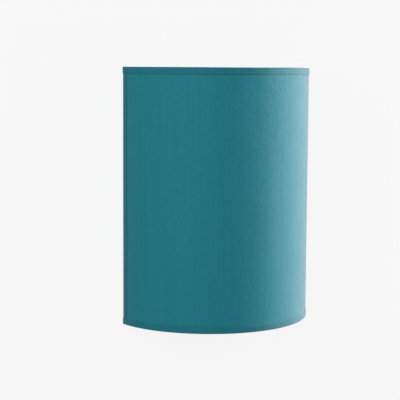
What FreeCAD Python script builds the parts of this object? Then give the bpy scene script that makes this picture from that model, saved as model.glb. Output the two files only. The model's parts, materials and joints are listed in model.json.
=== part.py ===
"""Half-cylinder fabric shade wall light, in millimetres.

A sheet-steel bracket screws flat to the wall. It carries a terminal block, an L-shaped arm and an upright
screw lampholder with a bulb. The shade is a half drum of cloth on a white liner, stiffened by a wire frame,
with folded hems along all four edges. Its cross bar drops into the two hooks of the bracket, so the shade
lifts off straight up: the wire frame has no straight bar at the bottom, which leaves the back open.

Frame: the wall is the plane y = 0 and the light stands in front of it, in y < 0. +Z is up and +X is to the
right, seen from the room. The origin lies on the wall, midway between the bracket's two wall slots.
"""

import FreeCAD, Part
import math
import os

# ---- shade ----
SHADE_RADIUS = 120.0            # outside of the cloth
SHADE_HEIGHT = 300.0            # over both hems
SHADE_BOTTOM_Z = -130.0         # lower rim, from the wall slots
CLOTH = 0.5                     # woven cover
LINER = 0.5                     # white liner behind it
HEM_CLOTH = 0.5                 # one layer of hem
HEM_WIDTH = 8.0                 # strip seen outside, and the strip glued down inside
HEM_CLEARANCE = 0.3             # hem to the cross bar that passes through it
WALL_GAP = 0.3                  # shade to wall
FRAME_WIRE_R = 1.5              # rings and uprights
CROSS_BAR_R = 2.0               # bar that hangs in the hooks
CROSS_BAR_Z = 58.0
CROSS_BAR_GAP = 1.2             # bar to the plate behind it

# ---- bracket ----
PLATE_WIDTH = 120.0
PLATE_HEIGHT = 130.0
PLATE_T = 1.2
PLATE_BEND = 1.0                # inside radius
FLANGE_DEPTH = 12.0
FLANGE_CORNER = 4.0
HOOK_GAP = 0.3                  # cross bar to its hook
SLOT_SPACING = 84.0
SLOT_LENGTH = 10.0
SLOT_R = 2.25
CABLE_HOLE_R = 9.5
CABLE_HOLE_Z = 40.0
BUSH_BORE_R = 4.5
BUSH_FLANGE_R = 12.0
BUSH_FLANGE_T = 3.0

# ---- lamp arm ----
ARM_WIDTH = 25.0
ARM_T = 2.0
ARM_BEND = 2.0
ARM_LEG_TOP_Z = -8.0
ARM_TOP_Z = -60.0               # seat of the lampholder
ARM_TIP_MARGIN = 14.0           # past the lampholder's axis
LAMP_OFFSET = 55.0              # lampholder axis from the wall
ARM_RIVET_Z = (-18.0, -44.0)
RIVET_R = 1.6
RIVET_HEAD_R = 3.4
RIVET_HEAD_T = 1.3
RIVET_FLARE = 0.8               # how much wider the flush tail is than the shank

# ---- terminal block ----
BLOCK_WIDTH = 32.0
BLOCK_DEPTH = 14.0
BLOCK_HEIGHT = 18.0
BLOCK_BOTTOM_Z = 8.0
BLOCK_EDGE = 1.0
POLE_SPACING = 10.0
INSERT_R = 2.6
INSERT_FROM_PLATE = 7.0         # pole axis from the plate's face
POLE_SCREW_R = 1.5
POLE_SCREW_RECESS = 1.0
POLE_SCREW_INSET = 4.5          # screw axis from the end of its pole
SCREW_SLOT = 0.7
SCREW_SLOT_DEPTH = 0.6
BLOCK_RIVET_HEAD_R = 2.1

# ---- wiring ----
WIRE_R = 1.2
WIRE_CLEARANCE = 0.1
WIRE_INSERTION = 5.0            # into a pole
LIVE_SIDE = 1.0
NEUTRAL_SIDE = -1.0

# ---- earth point ----
EARTH_FROM_WALL = 36.0
EARTH_SCREW_R = 2.0
EARTH_HOLE_CLEARANCE = 0.15
EARTH_HEAD_R = 3.8
EARTH_HEAD_T = 2.4
EARTH_WASHER_R = 4.5
EARTH_WASHER_T = 0.8
LUG_T = 0.8
LUG_RING_R = 4.2
LUG_BARREL_R = 1.7
LUG_BARREL_LENGTH = 5.5
LUG_NECK = 1.6
EARTH_NUT_AF = 7.0
EARTH_NUT_T = 3.0
EARTH_THREAD_OUT = 1.2

# ---- hollow nipple ----
NIPPLE_R = 5.0
NIPPLE_BORE_R = 3.6
NIPPLE_HOLE_CLEARANCE = 0.1
NIPPLE_WASHER_R = 8.5
NIPPLE_WASHER_T = 1.0
NIPPLE_NUT_AF = 14.0
NIPPLE_NUT_T = 4.0
NIPPLE_END_OUT = 3.0

# ---- lampholder ----
CAP_COLLAR_R = 10.5
CAP_COLLAR_H = 4.0
CAP_DOME_H = 15.0
CAP_RIM_H = 8.0
CAP_R = 20.0
CAP_WALL = 2.2
CAP_FLOOR = 3.0
CORE_LEDGE = 1.8                # seat under the rim of the contact core
CORE_SINK = 5.8                 # how far the core sits down in the cap
CORE_T = 8.0
CORE_CLEARANCE = 0.1
CORE_BOSS_R = 8.0
CORE_BOSS_H = 2.0
SKIRT_R = 21.0
SKIRT_H = 32.0
SKIRT_WALL = 2.0
SKIRT_LIP = 1.6
SKIRT_CHAMFER = 1.2
HOLDER_CLAMP_X = 5.5
HOLDER_CLAMP_SIZE = 6.0
HOLDER_CLAMP_H = 6.0
HOLDER_SCREW_HEAD_R = 2.2
HOLDER_SCREW_OUT = 1.4
CONTACT_STRIP_T = 0.5
CONTACT_STRIP_W = 5.0
CONTACT_STRIP_LENGTH = 11.0
CONTACT_STRIP_RISE = 3.4

# ---- screw thread of bulb and shell, drawn as rings ----
THREAD_PITCH = 3.629
THREAD_DEPTH = 0.9
BULB_THREAD_R = 13.1            # crest of the bulb's thread
THREAD_CLEARANCE = 0.35         # crest to the shell's crest, so that the rings pass each other
SHEET_BRASS = 0.4
SHELL_TURNS = 5
BULB_TURNS = 4

# ---- bulb ----
CONTACT_GAP = 0.3               # tip contact over the contact strip
TIP_R = 4.8
TIP_T = 1.4
INSULATOR_R = 11.4
INSULATOR_FIT = 0.05            # running clearance in the screw cap
INSULATOR_CONE_H = 3.0
INSULATOR_RIM_H = 1.0
BULB_COLLAR_H = 4.0
HOUSING_FOOT_R = 13.5
HOUSING_H = 34.0
HOUSING_WALL = 1.5
GLOBE_R = 30.0
GLOBE_WALL = 1.2
GLOBE_NECK_R = 24.0
LED_BOARD_T = 1.6
LED_BOARD_DROP = 2.0            # below the housing's rim
LED_LEDGE = 1.5
LED_RING_R = 13.0
LED_COUNT = 8
LED_SIZE = 3.0
LED_T = 0.8

# ---- places that follow from the sizes above ----
SHADE_TOP_Z = SHADE_BOTTOM_Z + SHADE_HEIGHT
LINER_OUT_R = SHADE_RADIUS - CLOTH
LINER_IN_R = LINER_OUT_R - LINER
RING_R = LINER_IN_R - FRAME_WIRE_R
RING_INSET = HEM_CLOTH + FRAME_WIRE_R
RIM_Z = {"top": SHADE_TOP_Z, "bottom": SHADE_BOTTOM_Z}
CROSS_BAR_Y = -(PLATE_T + CROSS_BAR_GAP + CROSS_BAR_R)
UPRIGHT_Y = CROSS_BAR_Y
UPRIGHT_X = math.sqrt(RING_R ** 2 - UPRIGHT_Y ** 2)
ARM_BOTTOM_Z = ARM_TOP_Z - ARM_T
LAMP_Y = -LAMP_OFFSET
EARTH_Y = -EARTH_FROM_WALL
POLE_Y = -(PLATE_T + INSERT_FROM_PLATE)
BLOCK_TOP_Z = BLOCK_BOTTOM_Z + BLOCK_HEIGHT
BLOCK_FRONT_Y = -(PLATE_T + BLOCK_DEPTH)
POLES_X = (-POLE_SPACING, 0.0, POLE_SPACING)
BLOCK_RIVETS_X = (-POLE_SPACING / 2, POLE_SPACING / 2)
BLOCK_MID_Z = BLOCK_BOTTOM_Z + BLOCK_HEIGHT / 2
CAP_DOME_TOP_Z = ARM_TOP_Z + CAP_COLLAR_H + CAP_DOME_H
CAP_TOP_Z = CAP_DOME_TOP_Z + CAP_RIM_H
CORE_BOTTOM_Z = CAP_TOP_Z - CORE_SINK
CORE_TOP_Z = CORE_BOTTOM_Z + CORE_T
CORE_R = CAP_R - CAP_WALL - CORE_CLEARANCE
SKIRT_TOP_Z = CAP_TOP_Z + SKIRT_H
BOSS_TOP_Z = CORE_TOP_Z + CORE_BOSS_H
TIP_BOTTOM_Z = BOSS_TOP_Z + CONTACT_STRIP_RISE + CONTACT_GAP
INSULATOR_BOTTOM_Z = TIP_BOTTOM_Z + TIP_T
BULB_THREAD_Z = INSULATOR_BOTTOM_Z + INSULATOR_CONE_H
BULB_THREAD_TOP_Z = BULB_THREAD_Z + BULB_TURNS * THREAD_PITCH
HOUSING_BOTTOM_Z = BULB_THREAD_TOP_Z + BULB_COLLAR_H
HOUSING_TOP_Z = HOUSING_BOTTOM_Z + HOUSING_H
GLOBE_Z = HOUSING_TOP_Z + math.sqrt(GLOBE_R ** 2 - GLOBE_NECK_R ** 2)
SHELL_CREST_R = BULB_THREAD_R + THREAD_CLEARANCE
LED_BOARD_Z = HOUSING_TOP_Z - LED_BOARD_DROP - LED_BOARD_T
CLAMP_BOTTOM_Z = CORE_BOTTOM_Z - HOLDER_CLAMP_H
BARREL_END_Y = EARTH_Y + LUG_RING_R + LUG_NECK + LUG_BARREL_LENGTH
BARREL_Z = ARM_TOP_Z + LUG_BARREL_R

# ---- routes of the three wires, from the terminal block to where each one ends ----
POLE_END_Z = BLOCK_BOTTOM_Z + WIRE_INSERTION
NIPPLE_END_Z = ARM_BOTTOM_Z - NIPPLE_WASHER_T - NIPPLE_NUT_T - NIPPLE_END_OUT
PAIR_X = WIRE_R + WIRE_CLEARANCE
LAMP_WIRE_ROUTE = (
    (POLE_SPACING, POLE_Y, POLE_END_Z),
    (POLE_SPACING, POLE_Y, BLOCK_BOTTOM_Z - 8.0),
    (18.0, -10.0, -26.0),
    (18.5, -11.0, -58.0),
    (15.0, -20.0, NIPPLE_END_Z - 10.0),
    (7.0, LAMP_Y + 12.0, NIPPLE_END_Z - 21.0),
    (PAIR_X, LAMP_Y, NIPPLE_END_Z - 12.0),
    (PAIR_X, LAMP_Y, ARM_TOP_Z + 1.0),
    (HOLDER_CLAMP_X, LAMP_Y, CLAMP_BOTTOM_Z - 4.5),
    (HOLDER_CLAMP_X, LAMP_Y, CLAMP_BOTTOM_Z),
)
EARTH_WIRE_ROUTE = (
    (0.0, POLE_Y, POLE_END_Z),
    (0.0, POLE_Y, BLOCK_BOTTOM_Z - 10.0),
    (2.5, POLE_Y - 0.8, -28.0),
    (0.0, POLE_Y, BARREL_Z),
    (0.0, BARREL_END_Y, BARREL_Z),
)


def vec(x, y, z):
    return FreeCAD.Vector(x, y, z)


def box(x_range, y_range, z_range):
    (x0, x1), (y0, y1), (z0, z1) = x_range, y_range, z_range
    return Part.makeBox(x1 - x0, y1 - y0, z1 - z0, vec(x0, y0, z0))


def rod(radius, start, end):
    """A round bar between two points."""
    a, b = vec(*start), vec(*end)
    return Part.makeCylinder(radius, (b - a).Length, a, b - a)


def ring(outer_r, inner_r, z_range, x=0.0, y=0.0):
    """A flat ring or sleeve about an upright axis."""
    z0, z1 = z_range
    return rod(outer_r, (x, y, z0), (x, y, z1)).cut(rod(inner_r, (x, y, z0), (x, y, z1)))


def polygon(points):
    """A closed outline of straight sides."""
    corners = [vec(*p) for p in points]
    return Part.makePolygon(corners + corners[:1])


def outline(steps):
    """An outline of lines and arcs. Each step is an end point, or a point passed and an end point."""
    edges = []
    here = vec(*steps[0])
    for step in steps[1:] + steps[:1]:
        if isinstance(step[0], tuple):
            through, there = vec(*step[0]), vec(*step[1])
            edges.append(Part.Arc(here, through, there).toShape())
        else:
            there = vec(*step)
            if there.isEqual(here, 1e-7):
                continue
            edges.append(Part.makeLine(here, there))
        here = there
    return Part.Wire(edges)


def turned(steps, x=0.0, y=0.0):
    """A solid of revolution about an upright axis, from an outline of (radius, z) points."""

    def lift(point):
        return (point[0] + x, y, point[1])

    placed = [tuple(lift(p) for p in s) if isinstance(s[0], tuple) else lift(s) for s in steps]
    return Part.Face(outline(placed)).revolve(vec(x, y, 0), vec(0, 0, 1), 360)


def hexagon_nut(across_flats, bore_r, z_range, x, y):
    z0, z1 = z_range
    corner_r = across_flats / math.sqrt(3)
    corners = [
        (x + corner_r * math.cos(math.radians(60 * i)), y + corner_r * math.sin(math.radians(60 * i)), z0)
        for i in range(6)
    ]
    blank = Part.Face(polygon(corners)).extrude(vec(0, 0, z1 - z0))
    return blank.cut(rod(bore_r, (x, y, z0), (x, y, z1)))


def tube_along(points, radius, name):
    """A wire of round section whose corners are rounded as widely as the runs on each side allow."""
    corners = [vec(*p) for p in points]
    edges, radii = [], []
    here = corners[0]
    for before, corner, after in zip(corners, corners[1:], corners[2:]):
        back, ahead = (before - corner), (after - corner)
        reach = 0.45 * min(back.Length, ahead.Length)
        back.normalize()
        ahead.normalize()
        half_turn = (math.pi - back.getAngle(ahead)) / 2
        bend_r = reach / math.tan(half_turn)
        start, end = corner + back * reach, corner + ahead * reach
        inward = (back + ahead).normalize()
        middle = corner + inward * (bend_r / math.cos(half_turn) - bend_r)
        edges.append(Part.makeLine(here, start))
        edges.append(Part.Arc(start, middle, end).toShape())
        radii.append(bend_r)
        here = end
    edges.append(Part.makeLine(here, corners[-1]))
    path = Part.Wire(edges)
    section = Part.Wire(Part.makeCircle(radius, corners[0], corners[1] - corners[0]))
    solid = path.makePipeShell([section], True, False)
    expected = math.pi * radius ** 2 * path.Length
    bends = ", ".join(f"{r:.1f}" for r in radii)
    print(f"{name}: {path.Length:.1f} mm long, volume {solid.Volume / expected:.4f} of section by length")
    print(f"{name}: bend radii {bends}")
    return solid


def in_front(shape, gap=WALL_GAP):
    """What lies in front of a plane that stands off the wall by the gap."""
    reach = 2 * SHADE_RADIUS
    return shape.common(box((-reach, reach), (-reach, -gap), (SHADE_BOTTOM_Z - reach, SHADE_TOP_Z + reach)))


# ---- shade ----


def panel(outer_r, thickness):
    """A half drum of sheet, inside the folds of the four hems."""
    z_range = (SHADE_BOTTOM_Z + HEM_CLOTH, SHADE_TOP_Z - HEM_CLOTH)
    return in_front(ring(outer_r, outer_r - thickness, z_range), WALL_GAP + HEM_CLOTH)


def top_hem():
    """Cloth that lies on the panel outside, folds over its edge, goes round the wire and is glued inside.

    It is cut away inside the back corners, where the uprights and the back bar come in.
    """

    def at(depth):
        return SHADE_TOP_Z - depth

    out_r = SHADE_RADIUS + HEM_CLOTH
    wrap_r = FRAME_WIRE_R + HEM_CLOTH
    wire_foot = RING_INSET + FRAME_WIRE_R
    tail_r = LINER_IN_R - HEM_CLOTH
    profile = [
        (out_r, at(HEM_WIDTH)),
        (out_r, at(HEM_CLOTH)),
        (SHADE_RADIUS, at(0.0)),
        (RING_R, at(0.0)),
        ((RING_R - wrap_r, at(RING_INSET)), (RING_R, at(wire_foot + HEM_CLOTH))),
        (tail_r, at(wire_foot + HEM_CLOTH)),
        (tail_r, at(HEM_WIDTH)),
        (LINER_IN_R, at(HEM_WIDTH)),
        (LINER_IN_R, at(wire_foot)),
        (RING_R, at(wire_foot)),
        ((RING_R - FRAME_WIRE_R, at(RING_INSET)), (RING_R, at(HEM_CLOTH))),
        (SHADE_RADIUS, at(HEM_CLOTH)),
        (SHADE_RADIUS, at(HEM_WIDTH)),
    ]
    corner_z = (at(HEM_WIDTH), at(HEM_CLOTH))
    corners = rod(LINER_IN_R, (0, 0, corner_z[0]), (0, 0, corner_z[1])).common(
        box((-SHADE_RADIUS, SHADE_RADIUS), (UPRIGHT_Y - wrap_r, 0), corner_z)
    )
    return in_front(turned(profile)).cut(corners)


def bottom_hem():
    middle_z = (SHADE_BOTTOM_Z + SHADE_TOP_Z) / 2
    return top_hem().mirror(vec(0, 0, middle_z), vec(0, 0, 1))


def right_hem():
    """The same cloth down one upright edge, between the two rim hems."""
    z0 = SHADE_BOTTOM_Z + HEM_WIDTH
    edge_y, fold_y, end_y = -WALL_GAP, -WALL_GAP - HEM_CLOTH, -WALL_GAP - HEM_WIDTH
    wrap_r = FRAME_WIRE_R + HEM_CLOTH
    wire_y = UPRIGHT_Y - FRAME_WIRE_R
    wrap_y = UPRIGHT_Y - wrap_r
    out_r, tail_r = SHADE_RADIUS + HEM_CLOTH, LINER_IN_R - HEM_CLOTH

    def on(radius, y):
        return (math.sqrt(radius ** 2 - y ** 2), y, z0)

    def curve(radius, from_y, to_y):
        return (on(radius, (from_y + to_y) / 2), on(radius, to_y))

    def round_upright(radius):
        diagonal = radius * math.sqrt(0.5)
        return (UPRIGHT_X - diagonal, UPRIGHT_Y - diagonal, z0)

    profile = [
        on(out_r, end_y),
        curve(out_r, end_y, edge_y),
        (UPRIGHT_X - wrap_r, edge_y, z0),
        (UPRIGHT_X - wrap_r, UPRIGHT_Y, z0),
        (round_upright(wrap_r), (UPRIGHT_X, wrap_y, z0)),
        on(tail_r, wrap_y),
        curve(tail_r, wrap_y, end_y),
        on(LINER_IN_R, end_y),
        curve(LINER_IN_R, end_y, wire_y),
        (UPRIGHT_X, wire_y, z0),
        (round_upright(FRAME_WIRE_R), (UPRIGHT_X - FRAME_WIRE_R, UPRIGHT_Y, z0)),
        (UPRIGHT_X - FRAME_WIRE_R, fold_y, z0),
        on(SHADE_RADIUS, fold_y),
        curve(SHADE_RADIUS, fold_y, end_y),
    ]
    hem = Part.Face(outline(profile)).extrude(vec(0, 0, SHADE_HEIGHT - 2 * HEM_WIDTH))
    bar_hole_r = CROSS_BAR_R + HEM_CLEARANCE
    return hem.cut(rod(bar_hole_r, (0, CROSS_BAR_Y, CROSS_BAR_Z), (UPRIGHT_X, CROSS_BAR_Y, CROSS_BAR_Z)))


def left_hem():
    return right_hem().mirror(vec(0, 0, 0), vec(1, 0, 0))


def upright_rod(side):
    foot_z = SHADE_BOTTOM_Z + HEM_CLOTH
    head_z = SHADE_TOP_Z - HEM_CLOTH
    x = side * UPRIGHT_X
    return rod(FRAME_WIRE_R, (x, UPRIGHT_Y, foot_z), (x, UPRIGHT_Y, head_z))


def half_ring(rim):
    """The bent wire along one rim. Its cut ends meet the uprights, where they are welded."""
    inward = -1 if rim == "top" else 1
    z = RIM_Z[rim] + inward * RING_INSET
    end_angle = math.asin(-UPRIGHT_Y / RING_R) + math.asin(FRAME_WIRE_R / RING_R)
    start = vec(RING_R * math.cos(end_angle), -RING_R * math.sin(end_angle), z)
    along = vec(-math.sin(end_angle), -math.cos(end_angle), 0)
    section = Part.Face(Part.Wire(Part.makeCircle(FRAME_WIRE_R, start, along)))
    sweep = 180.0 - 2 * math.degrees(end_angle)
    return section.revolve(vec(0, 0, z), vec(0, 0, -1), sweep)


def bar_between_uprights(radius, z):
    half = UPRIGHT_X - FRAME_WIRE_R
    return rod(radius, (-half, UPRIGHT_Y, z), (half, UPRIGHT_Y, z))


# ---- bracket ----


def countersunk_hole(x, z, depth, radius, flare_depth):
    """Cutter for a rivet: a hole towards the room with a flare at the wall side."""
    hole = rod(radius, (x, 0, z), (x, -depth, z))
    flare = Part.makeCone(radius + RIVET_FLARE, radius, flare_depth, vec(x, 0, z), vec(0, -1, 0))
    return hole.fuse(flare)


def rivet(x, z, grip, head_r, head_t):
    """A rivet with a domed head towards the room and a flush tail at the wall."""
    shank = countersunk_hole(x, z, grip, RIVET_R, PLATE_T)
    cap_r = (head_r ** 2 + head_t ** 2) / (2 * head_t)
    ball = Part.makeSphere(cap_r, vec(x, -grip - head_t + cap_r, z))
    head = ball.common(rod(head_r, (x, -grip, z), (x, -grip - head_t, z)))
    return shank.fuse(head).removeSplitter()


def backplate():
    half_w, half_h = PLATE_WIDTH / 2, PLATE_HEIGHT / 2
    bend_out = PLATE_BEND + PLATE_T
    z0 = -half_h
    centre_x, centre_y = half_w - bend_out, -bend_out

    def on_bend(radius, side):
        diagonal = radius * math.sqrt(0.5)
        return (side * (centre_x + diagonal), centre_y + diagonal, z0)

    profile = [
        (-centre_x, 0.0, z0),
        (centre_x, 0.0, z0),
        (on_bend(bend_out, 1), (half_w, centre_y, z0)),
        (half_w, -FLANGE_DEPTH, z0),
        (half_w - PLATE_T, -FLANGE_DEPTH, z0),
        (half_w - PLATE_T, centre_y, z0),
        (on_bend(PLATE_BEND, 1), (centre_x, -PLATE_T, z0)),
        (-centre_x, -PLATE_T, z0),
        (on_bend(PLATE_BEND, -1), (PLATE_T - half_w, centre_y, z0)),
        (PLATE_T - half_w, -FLANGE_DEPTH, z0),
        (-half_w, -FLANGE_DEPTH, z0),
        (-half_w, centre_y, z0),
        (on_bend(bend_out, -1), (-centre_x, 0.0, z0)),
    ]
    plate = Part.Face(outline(profile)).extrude(vec(0, 0, PLATE_HEIGHT))
    free_corners = [
        e for e in plate.Edges
        if abs(e.CenterOfMass.y + FLANGE_DEPTH) < 1e-6
        and abs(abs(e.CenterOfMass.z) - half_h) < 1e-6
    ]
    plate = plate.makeFillet(FLANGE_CORNER, free_corners)
    for cutter in plate_cutters():
        plate = plate.cut(cutter)
    return plate


def plate_cutters():
    """The wall slots, the cable hole, the rivet holes and the two hooks."""
    slot_half = SLOT_LENGTH / 2 - SLOT_R
    cutters = []
    for side in (-1, 1):
        x = side * SLOT_SPACING / 2
        ends = [rod(SLOT_R, (x + d, 0, 0), (x + d, -PLATE_T, 0)) for d in (-slot_half, slot_half)]
        middle = box((x - slot_half, x + slot_half), (-PLATE_T, 0), (-SLOT_R, SLOT_R))
        cutters.append(middle.fuse(ends))
        cutters.append(hook_cutter(side))
    cutters.append(rod(CABLE_HOLE_R, (0, 0, CABLE_HOLE_Z), (0, -PLATE_T, CABLE_HOLE_Z)))
    for z in ARM_RIVET_Z:
        cutters.append(countersunk_hole(0, z, PLATE_T, RIVET_R, PLATE_T))
    for x in BLOCK_RIVETS_X:
        cutters.append(countersunk_hole(x, BLOCK_MID_Z, PLATE_T, RIVET_R, PLATE_T))
    return cutters


def hook_cutter(side):
    """A notch, open at the top of a flange, with a round bottom just wider than the cross bar."""
    radius = CROSS_BAR_R + HOOK_GAP
    x_in = side * (PLATE_WIDTH / 2 - PLATE_BEND - PLATE_T)
    x_out = side * (PLATE_WIDTH / 2 + PLATE_T)
    seat = rod(radius, (x_in, CROSS_BAR_Y, CROSS_BAR_Z), (x_out, CROSS_BAR_Y, CROSS_BAR_Z))
    top = (CROSS_BAR_Z, PLATE_HEIGHT / 2 + PLATE_T)
    way_in = box(sorted((x_in, x_out)), (CROSS_BAR_Y - radius, CROSS_BAR_Y + radius), top)
    return seat.fuse(way_in)


def cable_bush():
    """Rubber bush pressed into the cable hole, flush with the wall behind."""
    y_front = -(PLATE_T + BUSH_FLANGE_T)
    z = CABLE_HOLE_Z
    shank = rod(CABLE_HOLE_R, (0, 0, z), (0, -PLATE_T, z))
    flange = rod(BUSH_FLANGE_R, (0, -PLATE_T, z), (0, y_front, z))
    flange = flange.makeFillet(1.0, [e for e in flange.Edges if abs(e.CenterOfMass.y - y_front) < 1e-6])
    return shank.fuse(flange).cut(rod(BUSH_BORE_R, (0, 0, z), (0, y_front, z)))


def lamp_arm():
    x = -ARM_WIDTH / 2
    back, face = -PLATE_T, -(PLATE_T + ARM_T)
    tip = LAMP_Y - ARM_TIP_MARGIN
    out_r = ARM_BEND + ARM_T
    corner = math.sqrt(0.5)
    bend_y, bend_z = face - ARM_BEND, ARM_TOP_Z + ARM_BEND
    profile = [
        (x, back, ARM_LEG_TOP_Z),
        (x, back, bend_z),
        ((x, bend_y + out_r * corner, bend_z - out_r * corner), (x, bend_y, ARM_BOTTOM_Z)),
        (x, tip, ARM_BOTTOM_Z),
        (x, tip, ARM_TOP_Z),
        (x, bend_y, ARM_TOP_Z),
        ((x, bend_y + ARM_BEND * corner, bend_z - ARM_BEND * corner), (x, face, bend_z)),
        (x, face, ARM_LEG_TOP_Z),
    ]
    arm = Part.Face(outline(profile)).extrude(vec(ARM_WIDTH, 0, 0))
    upright_edges = [
        e for e in arm.Edges
        if abs(e.CenterOfMass.y - tip) < 1e-6 and abs(abs(e.CenterOfMass.x) - ARM_WIDTH / 2) < 1e-6
    ]
    arm = arm.makeFillet(FLANGE_CORNER, upright_edges)
    for z in ARM_RIVET_Z:
        arm = arm.cut(rod(RIVET_R, (0, 0, z), (0, face, z)))
    nipple_hole_r = NIPPLE_R + NIPPLE_HOLE_CLEARANCE
    earth_hole_r = EARTH_SCREW_R + EARTH_HOLE_CLEARANCE
    arm = arm.cut(rod(nipple_hole_r, (0, LAMP_Y, ARM_BOTTOM_Z), (0, LAMP_Y, ARM_TOP_Z)))
    return arm.cut(rod(earth_hole_r, (0, EARTH_Y, ARM_BOTTOM_Z), (0, EARTH_Y, ARM_TOP_Z)))


def arm_rivets():
    grip = PLATE_T + ARM_T
    return Part.makeCompound([rivet(0, z, grip, RIVET_HEAD_R, RIVET_HEAD_T) for z in ARM_RIVET_Z])


# ---- terminal block ----


def pole_screw_places():
    heights = (BLOCK_BOTTOM_Z + POLE_SCREW_INSET, BLOCK_TOP_Z - POLE_SCREW_INSET)
    return [(x, z) for x in POLES_X for z in heights]


def terminal_block():
    half = BLOCK_WIDTH / 2
    block = box((-half, half), (BLOCK_FRONT_Y, -PLATE_T), (BLOCK_BOTTOM_Z, BLOCK_TOP_Z))
    front = [e for e in block.Edges if abs(e.CenterOfMass.y - BLOCK_FRONT_Y) < 1e-6]
    block = block.makeFillet(BLOCK_EDGE, front)
    for x in POLES_X:
        block = block.cut(rod(INSERT_R, (x, POLE_Y, BLOCK_BOTTOM_Z), (x, POLE_Y, BLOCK_TOP_Z)))
    for x, z in pole_screw_places():
        block = block.cut(rod(POLE_SCREW_R, (x, POLE_Y, z), (x, BLOCK_FRONT_Y, z)))
    for x in BLOCK_RIVETS_X:
        block = block.cut(rod(RIVET_R, (x, 0, BLOCK_MID_Z), (x, POLE_Y, BLOCK_MID_Z)))
        well = rod(BLOCK_RIVET_HEAD_R, (x, POLE_Y, BLOCK_MID_Z), (x, BLOCK_FRONT_Y, BLOCK_MID_Z))
        block = block.cut(well)
    return block


def terminal_inserts():
    inserts = []
    for x in POLES_X:
        insert = ring(INSERT_R, WIRE_R + WIRE_CLEARANCE, (BLOCK_BOTTOM_Z, BLOCK_TOP_Z), x, POLE_Y)
        for screw_x, z in pole_screw_places():
            if screw_x == x:
                insert = insert.cut(rod(POLE_SCREW_R, (x, POLE_Y, z), (x, BLOCK_FRONT_Y, z)))
        inserts.append(insert)
    return Part.makeCompound(inserts)


def terminal_screws():
    screws = []
    head_y = BLOCK_FRONT_Y + POLE_SCREW_RECESS
    foot_y = POLE_Y - WIRE_R
    half_slot = SCREW_SLOT / 2
    for x, z in pole_screw_places():
        screw = rod(POLE_SCREW_R, (x, foot_y, z), (x, head_y, z))
        slot = box(
            (x - POLE_SCREW_R, x + POLE_SCREW_R),
            (head_y, head_y + SCREW_SLOT_DEPTH),
            (z - half_slot, z + half_slot),
        )
        screws.append(screw.cut(slot))
    return Part.makeCompound(screws)


def terminal_rivets():
    grip = -POLE_Y
    rivets = [rivet(x, BLOCK_MID_Z, grip, BLOCK_RIVET_HEAD_R, RIVET_HEAD_T) for x in BLOCK_RIVETS_X]
    return Part.makeCompound(rivets)


# ---- earth point and wires ----


def earth_lug():
    """A ring tongue on the arm, with the crimped barrel of the earth wire towards the wall."""
    z1 = ARM_TOP_Z + LUG_T
    ring_part = rod(LUG_RING_R, (0, EARTH_Y, ARM_TOP_Z), (0, EARTH_Y, z1))
    neck_y = BARREL_END_Y - LUG_BARREL_LENGTH
    neck = box((-LUG_BARREL_R, LUG_BARREL_R), (EARTH_Y, neck_y), (ARM_TOP_Z, z1))
    barrel = rod(LUG_BARREL_R, (0, neck_y - LUG_NECK / 2, BARREL_Z), (0, BARREL_END_Y, BARREL_Z))
    lug = ring_part.fuse([neck, barrel]).removeSplitter()
    return lug.cut(rod(EARTH_SCREW_R, (0, EARTH_Y, ARM_TOP_Z), (0, EARTH_Y, z1)))


def earth_washer():
    z0 = ARM_TOP_Z + LUG_T
    return ring(EARTH_WASHER_R, EARTH_SCREW_R, (z0, z0 + EARTH_WASHER_T), 0, EARTH_Y)


def earth_screw():
    seat_z = ARM_TOP_Z + LUG_T + EARTH_WASHER_T
    head_z = seat_z + EARTH_HEAD_T
    foot_z = ARM_BOTTOM_Z - EARTH_NUT_T - EARTH_THREAD_OUT
    head = rod(EARTH_HEAD_R, (0, EARTH_Y, seat_z), (0, EARTH_Y, head_z))
    head = head.makeFillet(EARTH_HEAD_T / 3, [e for e in head.Edges if abs(e.CenterOfMass.z - head_z) < 1e-6])
    slot = box(
        (-EARTH_HEAD_R, EARTH_HEAD_R),
        (EARTH_Y - SCREW_SLOT / 2, EARTH_Y + SCREW_SLOT / 2),
        (head_z - 2 * SCREW_SLOT_DEPTH, head_z),
    )
    return head.cut(slot).fuse(rod(EARTH_SCREW_R, (0, EARTH_Y, foot_z), (0, EARTH_Y, seat_z)))


def earth_nut():
    z_range = (ARM_BOTTOM_Z - EARTH_NUT_T, ARM_BOTTOM_Z)
    return hexagon_nut(EARTH_NUT_AF, EARTH_SCREW_R, z_range, 0, EARTH_Y)


def lamp_wire(side, name):
    route = [(side * x, y, z) for x, y, z in LAMP_WIRE_ROUTE]
    return tube_along(route, WIRE_R, name)


# ---- lampholder ----


def nipple():
    return ring(NIPPLE_R, NIPPLE_BORE_R, (NIPPLE_END_Z, ARM_TOP_Z + CAP_FLOOR), 0, LAMP_Y)


def nipple_washer():
    z1 = ARM_BOTTOM_Z
    return ring(NIPPLE_WASHER_R, NIPPLE_R + NIPPLE_HOLE_CLEARANCE, (z1 - NIPPLE_WASHER_T, z1), 0, LAMP_Y)


def nipple_nut():
    z1 = ARM_BOTTOM_Z - NIPPLE_WASHER_T
    return hexagon_nut(NIPPLE_NUT_AF, NIPPLE_R, (z1 - NIPPLE_NUT_T, z1), 0, LAMP_Y)


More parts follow.
